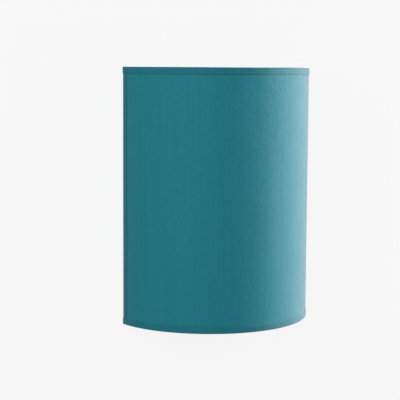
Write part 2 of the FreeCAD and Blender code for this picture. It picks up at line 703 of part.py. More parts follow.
def holder_cap():
    """Dome at the foot of the lampholder, screwed on the nipple, with a ledge for the contact core."""
    in_r = CAP_R - CAP_WALL
    ledge_r = in_r - CORE_LEDGE
    dome_z = ARM_TOP_Z + CAP_COLLAR_H
    floor_z = ARM_TOP_Z + CAP_FLOOR
    bulge_r = (CAP_COLLAR_R + CAP_R) / 2 + CAP_WALL
    bulge_z = (dome_z + CAP_DOME_TOP_Z) / 2 - CAP_WALL
    profile = [
        (NIPPLE_R, ARM_TOP_Z),
        (CAP_COLLAR_R, ARM_TOP_Z),
        (CAP_COLLAR_R, dome_z),
        ((bulge_r, bulge_z), (CAP_R, CAP_DOME_TOP_Z)),
        (CAP_R, CAP_TOP_Z),
        (in_r, CAP_TOP_Z),
        (in_r, CORE_BOTTOM_Z),
        (ledge_r, CORE_BOTTOM_Z),
        (ledge_r, CAP_DOME_TOP_Z),
        ((bulge_r - CAP_WALL, bulge_z + CAP_WALL / 2), (CAP_COLLAR_R - CAP_WALL, floor_z)),
        (NIPPLE_R, floor_z),
    ]
    return turned(profile, 0, LAMP_Y)


def holder_skirt():
    """Sleeve round the screw shell, standing on the rim of the cap, with a lip that keeps the shell in."""
    in_r = SKIRT_R - SKIRT_WALL
    lip_r = shell_root_r() + SHEET_BRASS
    profile = [
        (in_r, CAP_TOP_Z),
        (SKIRT_R, CAP_TOP_Z),
        (SKIRT_R, SKIRT_TOP_Z - SKIRT_CHAMFER),
        (SKIRT_R - SKIRT_CHAMFER, SKIRT_TOP_Z),
        (lip_r, SKIRT_TOP_Z),
        (lip_r, SKIRT_TOP_Z - SKIRT_LIP),
        (in_r, SKIRT_TOP_Z - SKIRT_LIP),
    ]
    return turned(profile, 0, LAMP_Y)


def contact_core():
    core = rod(CORE_R, (0, LAMP_Y, CORE_BOTTOM_Z), (0, LAMP_Y, CORE_TOP_Z))
    boss = rod(CORE_BOSS_R, (0, LAMP_Y, CORE_TOP_Z), (0, LAMP_Y, BOSS_TOP_Z))
    return core.fuse(boss)


def shell_root_r():
    return SHELL_CREST_R + THREAD_DEPTH


def ring_thread(crest_r, root_r, start_z, turns):
    """Rolled rings, from a crest to the next: a pair of arcs for each pitch."""
    middle_r = (crest_r + root_r) / 2
    steps = []
    for turn in range(turns):
        z = start_z + turn * THREAD_PITCH
        steps.append(((crest_r, z + THREAD_PITCH / 4), (middle_r, z + THREAD_PITCH / 2)))
        steps.append(((root_r, z + THREAD_PITCH * 3 / 4), (middle_r, z + THREAD_PITCH)))
    return steps


def reversed_steps(steps, start):
    """The same outline walked the other way. Its last point is the given start."""
    ends = [start] + [s[1] if isinstance(s[0], tuple) else s for s in steps]
    back = []
    for i in range(len(steps) - 1, -1, -1):
        back.append((steps[i][0], ends[i]) if isinstance(steps[i][0], tuple) else ends[i])
    return back


def rolled_sleeve(inner_crest_r, inner_root_r, start_z, turns, z_top):
    """A thin sleeve with rolled rings and a plain end above them."""
    middle = (inner_crest_r + inner_root_r) / 2
    inside = ring_thread(inner_crest_r, inner_root_r, start_z, turns) + [(middle, z_top)]
    outer = middle + SHEET_BRASS
    outside = ring_thread(inner_crest_r + SHEET_BRASS, inner_root_r + SHEET_BRASS, start_z, turns)
    outside = outside + [(outer, z_top)]
    profile = [(outer, start_z)] + outside + [(middle, z_top)]
    profile = profile + reversed_steps(inside, (middle, start_z))[1:]
    return turned(profile, 0, LAMP_Y)


def screw_shell():
    shell_top_z = SKIRT_TOP_Z - SKIRT_LIP
    start_z = shell_top_z - SHELL_TURNS * THREAD_PITCH - 1.0
    sleeve = rolled_sleeve(SHELL_CREST_R, shell_root_r(), start_z, SHELL_TURNS, shell_top_z)
    middle = (SHELL_CREST_R + shell_root_r()) / 2
    foot = ring(middle + SHEET_BRASS, middle, (CORE_TOP_Z, start_z), 0, LAMP_Y)
    floor_ring = ring(middle + SHEET_BRASS, CORE_BOSS_R, (CORE_TOP_Z, CORE_TOP_Z + SHEET_BRASS), 0, LAMP_Y)
    return sleeve.fuse([foot, floor_ring]).removeSplitter()


def centre_contact():
    """A springy strip: flat on the boss, bent back over itself towards the bulb's tip."""
    y = LAMP_Y - CONTACT_STRIP_W / 2
    half = CONTACT_STRIP_LENGTH / 2
    top = BOSS_TOP_Z + CONTACT_STRIP_RISE
    t = CONTACT_STRIP_T
    profile = [
        (-half, y, BOSS_TOP_Z),
        (half, y, BOSS_TOP_Z),
        (half, y, BOSS_TOP_Z + t),
        (-half + 2 * t, y, BOSS_TOP_Z + t),
        (-t, y, top - t),
        (half / 2, y, top - t),
        (half / 2, y, top),
        (-t, y, top),
        (-half, y, BOSS_TOP_Z + t),
    ]
    return Part.Face(polygon(profile)).extrude(vec(0, CONTACT_STRIP_W, 0))


def holder_clamps():
    half = HOLDER_CLAMP_SIZE / 2
    clamps = []
    for side in (NEUTRAL_SIDE, LIVE_SIDE):
        x = side * HOLDER_CLAMP_X
        clamps.append(box(
            (x - half, x + half),
            (LAMP_Y - half, LAMP_Y + half),
            (CLAMP_BOTTOM_Z, CORE_BOTTOM_Z),
        ))
    return Part.makeCompound(clamps)


def holder_screws():
    """The screw in the front of each clamp."""
    face_y = LAMP_Y - HOLDER_CLAMP_SIZE / 2
    z = (CLAMP_BOTTOM_Z + CORE_BOTTOM_Z) / 2
    head_y = face_y - HOLDER_SCREW_OUT
    half_slot = SCREW_SLOT / 2
    screws = []
    for side in (NEUTRAL_SIDE, LIVE_SIDE):
        x = side * HOLDER_CLAMP_X
        head = rod(HOLDER_SCREW_HEAD_R, (x, face_y, z), (x, head_y, z))
        slot = box(
            (x - HOLDER_SCREW_HEAD_R, x + HOLDER_SCREW_HEAD_R),
            (head_y, head_y + SCREW_SLOT_DEPTH),
            (z - half_slot, z + half_slot),
        )
        screws.append(head.cut(slot))
    return Part.makeCompound(screws)


# ---- bulb ----


def bulb_tip_contact():
    profile = [
        (0.0, TIP_BOTTOM_Z),
        ((TIP_R * 0.6, TIP_BOTTOM_Z + TIP_T * 0.25), (TIP_R, INSULATOR_BOTTOM_Z)),
        (0.0, INSULATOR_BOTTOM_Z),
    ]
    return turned(profile, 0, LAMP_Y)


def bulb_insulator():
    rim_top_z = BULB_THREAD_Z + INSULATOR_RIM_H
    profile = [
        (0.0, INSULATOR_BOTTOM_Z),
        (TIP_R + 1.0, INSULATOR_BOTTOM_Z),
        (INSULATOR_R, BULB_THREAD_Z),
        (INSULATOR_R, rim_top_z),
        (0.0, rim_top_z),
    ]
    return turned(profile, 0, LAMP_Y)


def bulb_screw_cap():
    """Rolled sleeve that grips the insulator below and the housing above."""
    root_r = BULB_THREAD_R - THREAD_DEPTH
    in_crest, in_root = BULB_THREAD_R - SHEET_BRASS, root_r - SHEET_BRASS
    start_z = BULB_THREAD_Z + INSULATOR_RIM_H
    sleeve = rolled_sleeve(in_root, in_crest, start_z, BULB_TURNS - 1, HOUSING_BOTTOM_Z)
    middle = (in_crest + in_root) / 2
    grip_r = INSULATOR_R + INSULATOR_FIT
    grip = ring(middle + SHEET_BRASS, grip_r, (BULB_THREAD_Z, start_z), 0, LAMP_Y)
    return sleeve.fuse(grip).removeSplitter()


def bulb_housing():
    """Hollow body between the screw cap and the globe, with a ledge for the light board."""
    in_foot_r = HOUSING_FOOT_R - HOUSING_WALL
    in_neck_r = GLOBE_NECK_R - HOUSING_WALL
    ledge_r = in_neck_r - LED_LEDGE
    swell = (HOUSING_FOOT_R + GLOBE_NECK_R) / 2 - 1.0
    mid_z = (HOUSING_BOTTOM_Z + HOUSING_TOP_Z) / 2
    profile = [
        (0.0, HOUSING_BOTTOM_Z),
        (HOUSING_FOOT_R, HOUSING_BOTTOM_Z),
        ((swell, mid_z), (GLOBE_NECK_R, HOUSING_TOP_Z)),
        (in_neck_r, HOUSING_TOP_Z),
        (in_neck_r, LED_BOARD_Z),
        (ledge_r, LED_BOARD_Z),
        ((swell - HOUSING_WALL, mid_z), (in_foot_r, HOUSING_BOTTOM_Z + HOUSING_WALL)),
        (0.0, HOUSING_BOTTOM_Z + HOUSING_WALL),
    ]
    return turned(profile, 0, LAMP_Y)


def bulb_globe():
    in_r = GLOBE_R - GLOBE_WALL
    in_neck_r = math.sqrt(in_r ** 2 - (GLOBE_Z - HOUSING_TOP_Z) ** 2)
    profile = [
        (GLOBE_NECK_R, HOUSING_TOP_Z),
        ((GLOBE_R, GLOBE_Z), (0.0, GLOBE_Z + GLOBE_R)),
        (0.0, GLOBE_Z + in_r),
        ((in_r, GLOBE_Z), (in_neck_r, HOUSING_TOP_Z)),
    ]
    return turned(profile, 0, LAMP_Y)


def led_board():
    radius = GLOBE_NECK_R - HOUSING_WALL
    return rod(radius, (0, LAMP_Y, LED_BOARD_Z), (0, LAMP_Y, LED_BOARD_Z + LED_BOARD_T))


def led_chips():
    chips = []
    z0 = LED_BOARD_Z + LED_BOARD_T
    half = LED_SIZE / 2
    for i in range(LED_COUNT):
        angle = 360.0 * i / LED_COUNT
        chip = box((LED_RING_R - half, LED_RING_R + half), (-half, half), (z0, z0 + LED_T))
        chip.rotate(vec(0, 0, 0), vec(0, 0, 1), angle)
        chip.translate(vec(0, LAMP_Y, 0))
        chips.append(chip)
    return Part.makeCompound(chips)


def shade_nodes():
    return {
        "shade_cover": panel(SHADE_RADIUS, CLOTH),
        "shade_liner": panel(LINER_OUT_R, LINER),
        "top_hem": top_hem(),
        "bottom_hem": bottom_hem(),
        "left_hem": left_hem(),
        "right_hem": right_hem(),
        "top_ring": half_ring("top"),
        "bottom_ring": half_ring("bottom"),
        "left_upright": upright_rod(-1),
        "right_upright": upright_rod(1),
        "top_back_bar": bar_between_uprights(FRAME_WIRE_R, SHADE_TOP_Z - RING_INSET),
        "hanging_bar": bar_between_uprights(CROSS_BAR_R, CROSS_BAR_Z),
    }


def bracket_nodes():
    return {
        "backplate": backplate(),
        "cable_bush": cable_bush(),
        "lamp_arm": lamp_arm(),
        "arm_rivets": arm_rivets(),
        "terminal_block": terminal_block(),
        "terminal_inserts": terminal_inserts(),
        "terminal_screws": terminal_screws(),
        "terminal_rivets": terminal_rivets(),
        "earth_lug": earth_lug(),
        "earth_washer": earth_washer(),
        "earth_screw": earth_screw(),
        "earth_nut": earth_nut(),
        "live_wire": lamp_wire(LIVE_SIDE, "live_wire"),
        "neutral_wire": lamp_wire(NEUTRAL_SIDE, "neutral_wire"),
        "earth_wire": tube_along(EARTH_WIRE_ROUTE, WIRE_R, "earth_wire"),
    }


def lampholder_nodes():
    return {
        "holder_nipple": nipple(),
        "nipple_washer": nipple_washer(),
        "nipple_nut": nipple_nut(),
        "holder_cap": holder_cap(),
        "holder_skirt": holder_skirt(),
        "contact_core": contact_core(),
        "screw_shell": screw_shell(),
        "centre_contact": centre_contact(),
        "holder_clamps": holder_clamps(),
        "holder_screws": holder_screws(),
    }


def bulb_nodes():
    return {
        "bulb_tip_contact": bulb_tip_contact(),
        "bulb_insulator": bulb_insulator(),
        "bulb_screw_cap": bulb_screw_cap(),
        "bulb_housing": bulb_housing(),
        "led_board": led_board(),
        "led_chips": led_chips(),
        "bulb_globe": bulb_globe(),
    }


def main():
    os.makedirs("parts", exist_ok=True)
    nodes = {**shade_nodes(), **bracket_nodes(), **lampholder_nodes(), **bulb_nodes()}
    for name, shape in nodes.items():
        solids = len(shape.Solids)
        state = "valid" if shape.isValid() else "INVALID"
        print(f"{name}: {solids} solid(s), {shape.Volume:.1f} mm3, {state}")
        shape.exportStep(f"parts/{name}.step")
    print(f"lift that takes the shade clear of the bulb: {GLOBE_Z + GLOBE_R - SHADE_BOTTOM_Z:.1f} mm")
    print(f"bulb travel over its thread: {BULB_TURNS * THREAD_PITCH:.3f} mm in {BULB_TURNS} turns")
    print(f"top of the bulb: {GLOBE_Z + GLOBE_R:.1f} mm, foot of the nipple: {NIPPLE_END_Z:.1f} mm")


main()
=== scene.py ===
"""The looks of a half-drum fabric wall light: cloth and hems, liner, wire frame, bracket, lampholder and bulb.

Every length is in metres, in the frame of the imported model: the wall is the plane y = 0, the light stands in
front of it in y < 0, +Z is up and +X is to the right, seen from the room.
"""

import json
import logging
import math
from collections.abc import Callable
from dataclasses import dataclass
from enum import Enum
from functools import reduce

import bpy
from mathutils import Matrix, Quaternion, Vector

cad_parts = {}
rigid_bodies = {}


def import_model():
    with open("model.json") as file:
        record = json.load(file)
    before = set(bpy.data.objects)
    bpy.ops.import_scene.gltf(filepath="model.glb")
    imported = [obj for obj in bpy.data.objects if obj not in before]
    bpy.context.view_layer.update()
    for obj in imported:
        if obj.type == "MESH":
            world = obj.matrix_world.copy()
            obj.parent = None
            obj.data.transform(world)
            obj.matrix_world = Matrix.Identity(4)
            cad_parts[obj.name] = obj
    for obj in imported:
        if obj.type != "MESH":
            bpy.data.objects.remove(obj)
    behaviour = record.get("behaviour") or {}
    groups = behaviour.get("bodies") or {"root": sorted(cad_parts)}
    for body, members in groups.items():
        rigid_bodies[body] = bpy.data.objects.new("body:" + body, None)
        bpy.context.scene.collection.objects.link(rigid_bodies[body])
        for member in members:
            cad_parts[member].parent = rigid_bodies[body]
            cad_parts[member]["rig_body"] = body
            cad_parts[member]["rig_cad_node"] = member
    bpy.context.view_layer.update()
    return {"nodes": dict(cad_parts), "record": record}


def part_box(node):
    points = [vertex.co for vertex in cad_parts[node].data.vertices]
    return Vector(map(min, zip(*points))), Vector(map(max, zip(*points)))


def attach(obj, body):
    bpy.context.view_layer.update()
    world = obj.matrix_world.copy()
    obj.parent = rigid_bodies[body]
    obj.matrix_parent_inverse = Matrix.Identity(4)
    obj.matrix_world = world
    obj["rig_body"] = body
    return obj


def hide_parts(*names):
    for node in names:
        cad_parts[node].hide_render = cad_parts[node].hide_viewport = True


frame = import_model()

MM = 0.001
MIX_COLOUR_A, MIX_COLOUR_B, MIX_COLOUR_OUT = 6, 7, 2
LOG = logging.getLogger("wall_light")

Colour = tuple[float, float, float]
Point = tuple[float, float]
Material, Piece, Socket, Tree = bpy.types.Material, bpy.types.Object, bpy.types.NodeSocket, bpy.types.NodeTree


class Side(Enum):
    """Which upright edge of the shade, as a sign along X."""

    LEFT = -1
    RIGHT = 1


class Rim(Enum):
    """Which rim of the shade, as the sign of the way out along Z."""

    TOP = 1
    BOTTOM = -1


class Core(Enum):
    """The conductors of the wiring, by the colours of their insulation."""

    LIVE = (0.125, 0.052, 0.022)
    NEUTRAL = (0.012, 0.075, 0.30)
    EARTH_GREEN = (0.035, 0.22, 0.035)
    EARTH_YELLOW = (0.72, 0.55, 0.03)


@dataclass(frozen=True)
class ShadeSizes:
    """The shade's measures, as its solids have them."""

    radius: float
    cover_z: Point
    edge_y: float
    rim_z: Point
    wall_y: float
    liner_out: float
    upright: Point
    cloth: float = 0.5 * MM
    hem_width: float = 8.0 * MM
    wire_radius: float = 1.5 * MM

    @classmethod
    def from_frame(cls) -> "ShadeSizes":
        """Reads the measures from the solids' boxes.

        Returns:
            The measures.
        """
        low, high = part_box("shade_cover")
        hem_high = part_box("top_hem")[1]
        upright_low, upright_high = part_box("right_upright")
        middle = (upright_low + upright_high) / 2
        return cls(
            radius=high.x,
            cover_z=(low.z, high.z),
            edge_y=high.y,
            rim_z=(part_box("bottom_hem")[0].z, hem_high.z),
            wall_y=hem_high.y,
            liner_out=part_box("shade_liner")[1].x,
            upright=(middle.x, middle.y),
        )

    @property
    def liner_in(self) -> float:
        """Radius of the liner's inside."""
        return self.liner_out - self.cloth

    @property
    def ring_radius(self) -> float:
        """Radius of the ring wires' middle line."""
        return self.liner_in - self.wire_radius

    @property
    def tape_edges_z(self) -> Point:
        """Heights of the rim hems' inner edges."""
        return (self.rim_z[0] + self.hem_width, self.rim_z[1] - self.hem_width)

    @property
    def tape_edge_along(self) -> float:
        """Way round the cloth from its middle to a side hem's inner edge."""
        return self.radius * math.acos((self.hem_width - self.wall_y) / self.radius)


# ---------------------------------------------------------------- node tools


class NodeBench:
    """Places nodes in one tree and joins them. Values are sockets or plain numbers and colours."""

    def __init__(self, tree: Tree) -> None:
        """Starts on the tree of a material, a world or a group."""
        self.tree = tree

    def put(self, value: object, into: Socket) -> None:
        """Joins a socket to an input, or sets the input to a plain value.

        Args:
            value: a socket, a number, a vector or a colour.
            into: the input.
        """
        if isinstance(value, Socket):
            self.tree.links.new(value, into)
        else:
            into.default_value = (*value, 1.0) if into.type == "RGBA" else value

    def add(self, kind: str, values: dict[str | int, object] | None = None, **settings: object) -> bpy.types.Node:
        """Adds a node.

        Args:
            kind: the node's type name.
            values: what its inputs get, by name or number.
            settings: attributes of the node, by name.

        Returns:
            The node.
        """
        node = self.tree.nodes.new(kind)
        for name, setting in settings.items():
            setattr(node, name, setting)
        for key, value in (values or {}).items():
            self.put(value, node.inputs[key])
        return node

    def math(self, operation: str, first: object, second: object = 0.0) -> Socket:
        """Works out one operation on two values."""
        return self.add("ShaderNodeMath", {0: first, 1: second}, operation=operation).outputs[0]

    def times(self, first: object, second: object) -> Socket:
        """Multiplies two values."""
        return self.math("MULTIPLY", first, second)

    def plus(self, first: object, second: object) -> Socket:
        """Adds two values."""
        return self.math("ADD", first, second)

    def weighed(self, *layers: tuple[Socket, float]) -> Socket:
        """Adds layers up, each times its weight."""
        return reduce(self.plus, [self.times(layer, weight) for layer, weight in layers])

    def axes(self, vector: Socket) -> tuple[Socket, Socket, Socket]:
        """Takes a vector apart into X, Y and Z."""
        return tuple(self.add("ShaderNodeSeparateXYZ", {0: vector}).outputs)

    def stretched(self, vector: Socket, factors: Colour) -> Socket:
        """Scales a vector by a factor along each axis."""
        return self.add("ShaderNodeVectorMath", {0: vector, 1: factors}, operation="MULTIPLY").outputs["Vector"]

    def ramp(self, value: Socket, low: float, high: float, to_low: float = 0.0, to_high: float = 1.0) -> Socket:
        """Maps low..high to to_low..to_high, clamped and smooth."""
        values = {"Value": value, "From Min": low, "From Max": high, "To Min": to_low, "To Max": to_high}
        return self.add("ShaderNodeMapRange", values, interpolation_type="SMOOTHSTEP").outputs["Result"]

    def noise(self, vector: Socket, scale: object, detail: float = 2.0, roughness: float = 0.5) -> Socket:
        """Noise from 0 to 1, of so many cells a metre, with finer octaves on top."""
        values = {"Vector": vector, "Scale": scale, "Detail": detail, "Roughness": roughness}
        return self.add("ShaderNodeTexNoise", values).outputs["Fac"]

    def blend(self, share: object, first: object, second: object) -> Socket:
        """Mixes two colours by the share of the second."""
        values = {0: share, MIX_COLOUR_A: first, MIX_COLOUR_B: second}
        return self.add("ShaderNodeMix", values, data_type="RGBA").outputs[MIX_COLOUR_OUT]

    def bump(self, height: Socket, distance: float, strength: float = 1.0) -> Socket:
        """Turns a height from 0 to 1 into a normal, by the metres that 1 stands for."""
        values = {"Height": height, "Distance": distance, "Strength": strength}
        return self.add("ShaderNodeBump", values).outputs["Normal"]

    def light(self, kind: str, colour: Colour, strength: float) -> Socket:
        """A shader that gives light."""
        return self.add(kind, {"Color": colour, "Strength": strength}).outputs[0]

    def rays(self, *kinds: str) -> Socket:
        """1 for the Light Path's rays of these kinds and 0 for the rest."""
        path = self.add("ShaderNodeLightPath").outputs
        return reduce(lambda first, second: self.math("MAXIMUM", first, second), [path[kind] for kind in kinds])

    def choice(self, share: Socket, first: Socket, second: Socket) -> Socket:
        """Mixes two shaders by the share of the second."""
        return self.add("ShaderNodeMixShader", {0: share, 1: first, 2: second}).outputs[0]


def open_group(
    name: str, inputs: dict[str, float | None], *outputs: str
) -> tuple[NodeBench, bpy.types.NodeOutputs, bpy.types.NodeInputs]:
    """Makes an empty shader group.

    Args:
        name: of the group.
        inputs: what each input starts at, by name. An input that starts at None is a vector.
        outputs: their names.

    Returns:
        Its bench, the inputs to read from and the outputs to feed.
    """
    tree = bpy.data.node_groups.new(name, "ShaderNodeTree")
    for title, start in inputs.items():
        kind = "NodeSocketVector" if start is None else "NodeSocketFloat"
        socket = tree.interface.new_socket(title, in_out="INPUT", socket_type=kind)
        if start is not None:
            socket.default_value = start
    for title in outputs:
        tree.interface.new_socket(title, in_out="OUTPUT", socket_type="NodeSocketFloat")
    bench = NodeBench(tree)
    return bench, bench.add("NodeGroupInput").outputs, bench.add("NodeGroupOutput").inputs


# ---------------------------------------------------------------- shared effects


@dataclass(frozen=True)
class PlainWeave:
    """Warp over weft, over and under, with a mask of the gap where four threads meet, which the cloth darkens as
    painted shade.
    """

    drift: float = 1.4
    drift_cells: Colour = (260.0, 60.0, 1.0)
    crossing: float = 0.35
    gap: Point = (0.15, 0.55)

    def build(self) -> Tree:
        """Makes the group.

        Returns:
            Its tree.
        """
        pitches = {"Warp Pitch": 0.42 * MM, "Weft Pitch": 0.48 * MM}
        bench, given, result = open_group("plain weave", {"Vector": None, **pitches}, "Height", "Gap")
        wobble = bench.noise(bench.stretched(given["Vector"], self.drift_cells), 1.0)
        drift = bench.times(bench.math("SUBTRACT", wobble, 0.5), self.drift)
        x, y, _ = bench.axes(given["Vector"])
        across = bench.times(bench.math("DIVIDE", x, given["Warp Pitch"]), math.pi)
        along = bench.times(bench.math("DIVIDE", y, given["Weft Pitch"]), math.pi)
        warp = bench.math("SINE", bench.plus(across, drift))
        weft = bench.math("SINE", along)
        warp_round, weft_round = (bench.math("ABSOLUTE", wave) for wave in (warp, weft))
        lower = bench.math("MINIMUM", warp_round, weft_round)
        height = bench.weighed((bench.times(warp, weft), self.crossing), (lower, 1.0 - self.crossing))
        bench.put(bench.plus(height, self.crossing), result["Height"])
        upper = bench.math("MAXIMUM", warp_round, weft_round)
        bench.put(bench.ramp(upper, *self.gap, 1.0, 0.0), result["Gap"])
        return bench.tree


@dataclass(frozen=True)
class SlubThreads:
    """Thicker stretches of single threads: long along the warp, fewer along the weft, in faint bars."""

    warp_share: float = 0.45
    weft_share: float = 0.20
    bar_share: float = 0.35
    bar_stretch: Point = (0.5, 0.06)
    seeds: Colour = (3.1, 8.7, 5.5)
    streaks_from: Point = (0.36, 0.64)
    stands_from: Point = (0.50, 0.72)

    def build(self) -> Tree:
        """Makes the group.

        Returns:
            Its tree.
        """
        sizes = {"Thread Width": 0.8 * MM, "Slub Length": 9.0 * MM}
        bench, given, result = open_group("slub threads", {"Vector": None, **sizes}, "Height", "Streak")
        x, y, _ = bench.axes(given["Vector"])

        def streak(across: Socket, along: Socket, seed: float) -> Socket:
            """Noise that is drawn out along one thread direction.

            Args:
                across: way across the threads.
                along: way along the threads.
                seed: a plane of the noise.

            Returns:
                The noise, from 0 to 1.
            """
            wide = bench.math("DIVIDE", across, given["Thread Width"])
            long = bench.math("DIVIDE", along, given["Slub Length"])
            place = bench.add("ShaderNodeCombineXYZ", {"X": wide, "Y": long, "Z": seed}).outputs[0]
            return bench.noise(place, 1.0, 3.0, 0.6)

        warp = streak(x, y, self.seeds[0])
        weft = streak(y, x, self.seeds[1])
        bars = streak(bench.times(x, self.bar_stretch[0]), bench.times(y, self.bar_stretch[1]), self.seeds[2])
        both = bench.weighed((warp, self.warp_share), (weft, self.weft_share), (bars, self.bar_share))
        bench.put(bench.ramp(both, *self.streaks_from), result["Streak"])
        bench.put(bench.ramp(both, *self.stands_from), result["Height"])
        return bench.tree


@dataclass(frozen=True)
class FineGrain:
    """Fine texture of a moulded, cast or powder-coated surface, and a coarser mottle."""

    coarser: float = 14.0
    mottle: Point = (0.3, 0.7)

    def build(self) -> Tree:
        """Makes the group.

        Returns:
            Its tree.
        """
        bench, given, result = open_group("fine grain", {"Vector": None, "Scale": 1500.0}, "Height", "Mottle")
        coarse = bench.noise(given["Vector"], bench.math("DIVIDE", given["Scale"], self.coarser), 3.0)
        bench.put(bench.noise(given["Vector"], given["Scale"], 2.0, 0.55), result["Height"])
        bench.put(bench.ramp(coarse, *self.mottle), result["Mottle"])
        return bench.tree


@dataclass(frozen=True)
class HandlingScuffs:
    """Short hairline rubs in patches, as fitting and handling leave them."""

    line_cells: Colour = (90.0, 90.0, 1400.0)
    lines: Point = (0.60, 0.72)
    patch_cells: float = 55.0
    patches: Point = (0.5, 0.66)

    def build(self) -> Tree:
        """Makes the group.

        Returns:
            Its tree.
        """
        bench, given, result = open_group("handling scuffs", {"Vector": None, "Amount": 0.3}, "Mask")
        lines = bench.noise(bench.stretched(given["Vector"], self.line_cells), 1.0, 3.0, 0.7)
        patches = bench.noise(given["Vector"], self.patch_cells)
        both = bench.times(bench.ramp(lines, *self.lines), bench.ramp(patches, *self.patches))
        bench.put(bench.times(both, given["Amount"]), result["Mask"])
        return bench.tree


@dataclass(frozen=True)
class SettledDust:
    """Thin dust that settles on what faces up."""

    facing: Point = (0.35, 1.0)
    cells: float = 320.0
    patches: Point = (0.35, 0.7)

    def build(self) -> Tree:
        """Makes the group.

        Returns:
            Its tree.
        """
        bench, given, result = open_group("settled dust", {"Vector": None, "Normal": None, "Amount": 0.2}, "Mask")
        facing_up = bench.ramp(bench.axes(given["Normal"])[2], *self.facing)
        patchy = bench.ramp(bench.noise(given["Vector"], self.cells, 3.0), *self.patches)
        bench.put(bench.times(bench.times(facing_up, patchy), given["Amount"]), result["Mask"])
        return bench.tree


@dataclass(frozen=True)
class SoftLine:
    """A soft line where a measure passes a place, such as the shadow beside a taped edge."""

    width: float = 1.0 * MM

    def build(self) -> Tree:
        """Makes the group.

        Returns:
            Its tree.
        """
        bench, given, result = open_group("soft line", {"Measure": 0.0, "Place": 0.0, "Width": self.width}, "Mask")
        away = bench.math("ABSOLUTE", bench.math("SUBTRACT", given["Measure"], given["Place"]))
        bench.put(bench.ramp(bench.math("DIVIDE", away, given["Width"]), 0.0, 1.0, 1.0, 0.0), result["Mask"])
        return bench.tree


class Effects:
    """The shared shader groups, each made once."""

    def __init__(self) -> None:
        """Makes all of them."""
        self.weave = PlainWeave().build()
        self.slubs = SlubThreads().build()
        self.grain = FineGrain().build()
        self.scuffs = HandlingScuffs().build()
        self.dust = SettledDust().build()
        self.line = SoftLine().build()


# ---------------------------------------------------------------- finishes


def toned(colour: Colour, share: float) -> Colour:
    """A colour times a share."""
    return tuple(channel * share for channel in colour)


class Surface:
    """A material under construction: a Principled shader and what feeds it."""

    def __init__(self, name: str, effects: Effects) -> None:
        """Starts a material.

        Args:
            name: the finish's name.
            effects: the shared groups.
        """
        self.effects = effects
        self.material = bpy.data.materials.new(name)
        self.material.use_nodes = True
        self.bench = NodeBench(self.material.node_tree)
        self.shader = self.material.node_tree.nodes["Principled BSDF"]
        self.coordinates = self.bench.add("ShaderNodeTexCoord").outputs
        self.mottle: Socket | None = None
        self.roughness: Socket | None = None

    def effect(self, group: Tree, **values: object) -> bpy.types.NodeOutputs:
        """Places a shared effect.

        Args:
            group: one of the shared groups.
            values: its inputs, by name with _ for a space. Vector is Object coordinates where none is given.

        Returns:
            What the group gives out, by name.
        """
        values = {name.replace("_", " "): value for name, value in values.items()}
        if "Vector" in group.interface.items_tree:
            values.setdefault("Vector", self.coordinates["Object"])
        return self.bench.add("ShaderNodeGroup", values, node_tree=group).outputs

    def set(self, **values: object) -> None:
        """Sets or feeds inputs of the shader, by name with _ for a space."""
        for name, value in values.items():
            self.bench.put(value, self.shader.inputs[name.replace("_", " ")])


@dataclass(frozen=True)
class Finish:
    """One finish of the light."""

    name: str

    def build(self, effects: Effects) -> Material:
        """Makes the material.

        Args:
            effects: the shared groups.

        Returns:
            The material.
        """
        surface = Surface(self.name, effects)
        self.lay(surface)
        return surface.material

    def lay(self, surface: Surface) -> None:
        """Feeds the material's shader, each finish in its own way."""
        raise NotImplementedError


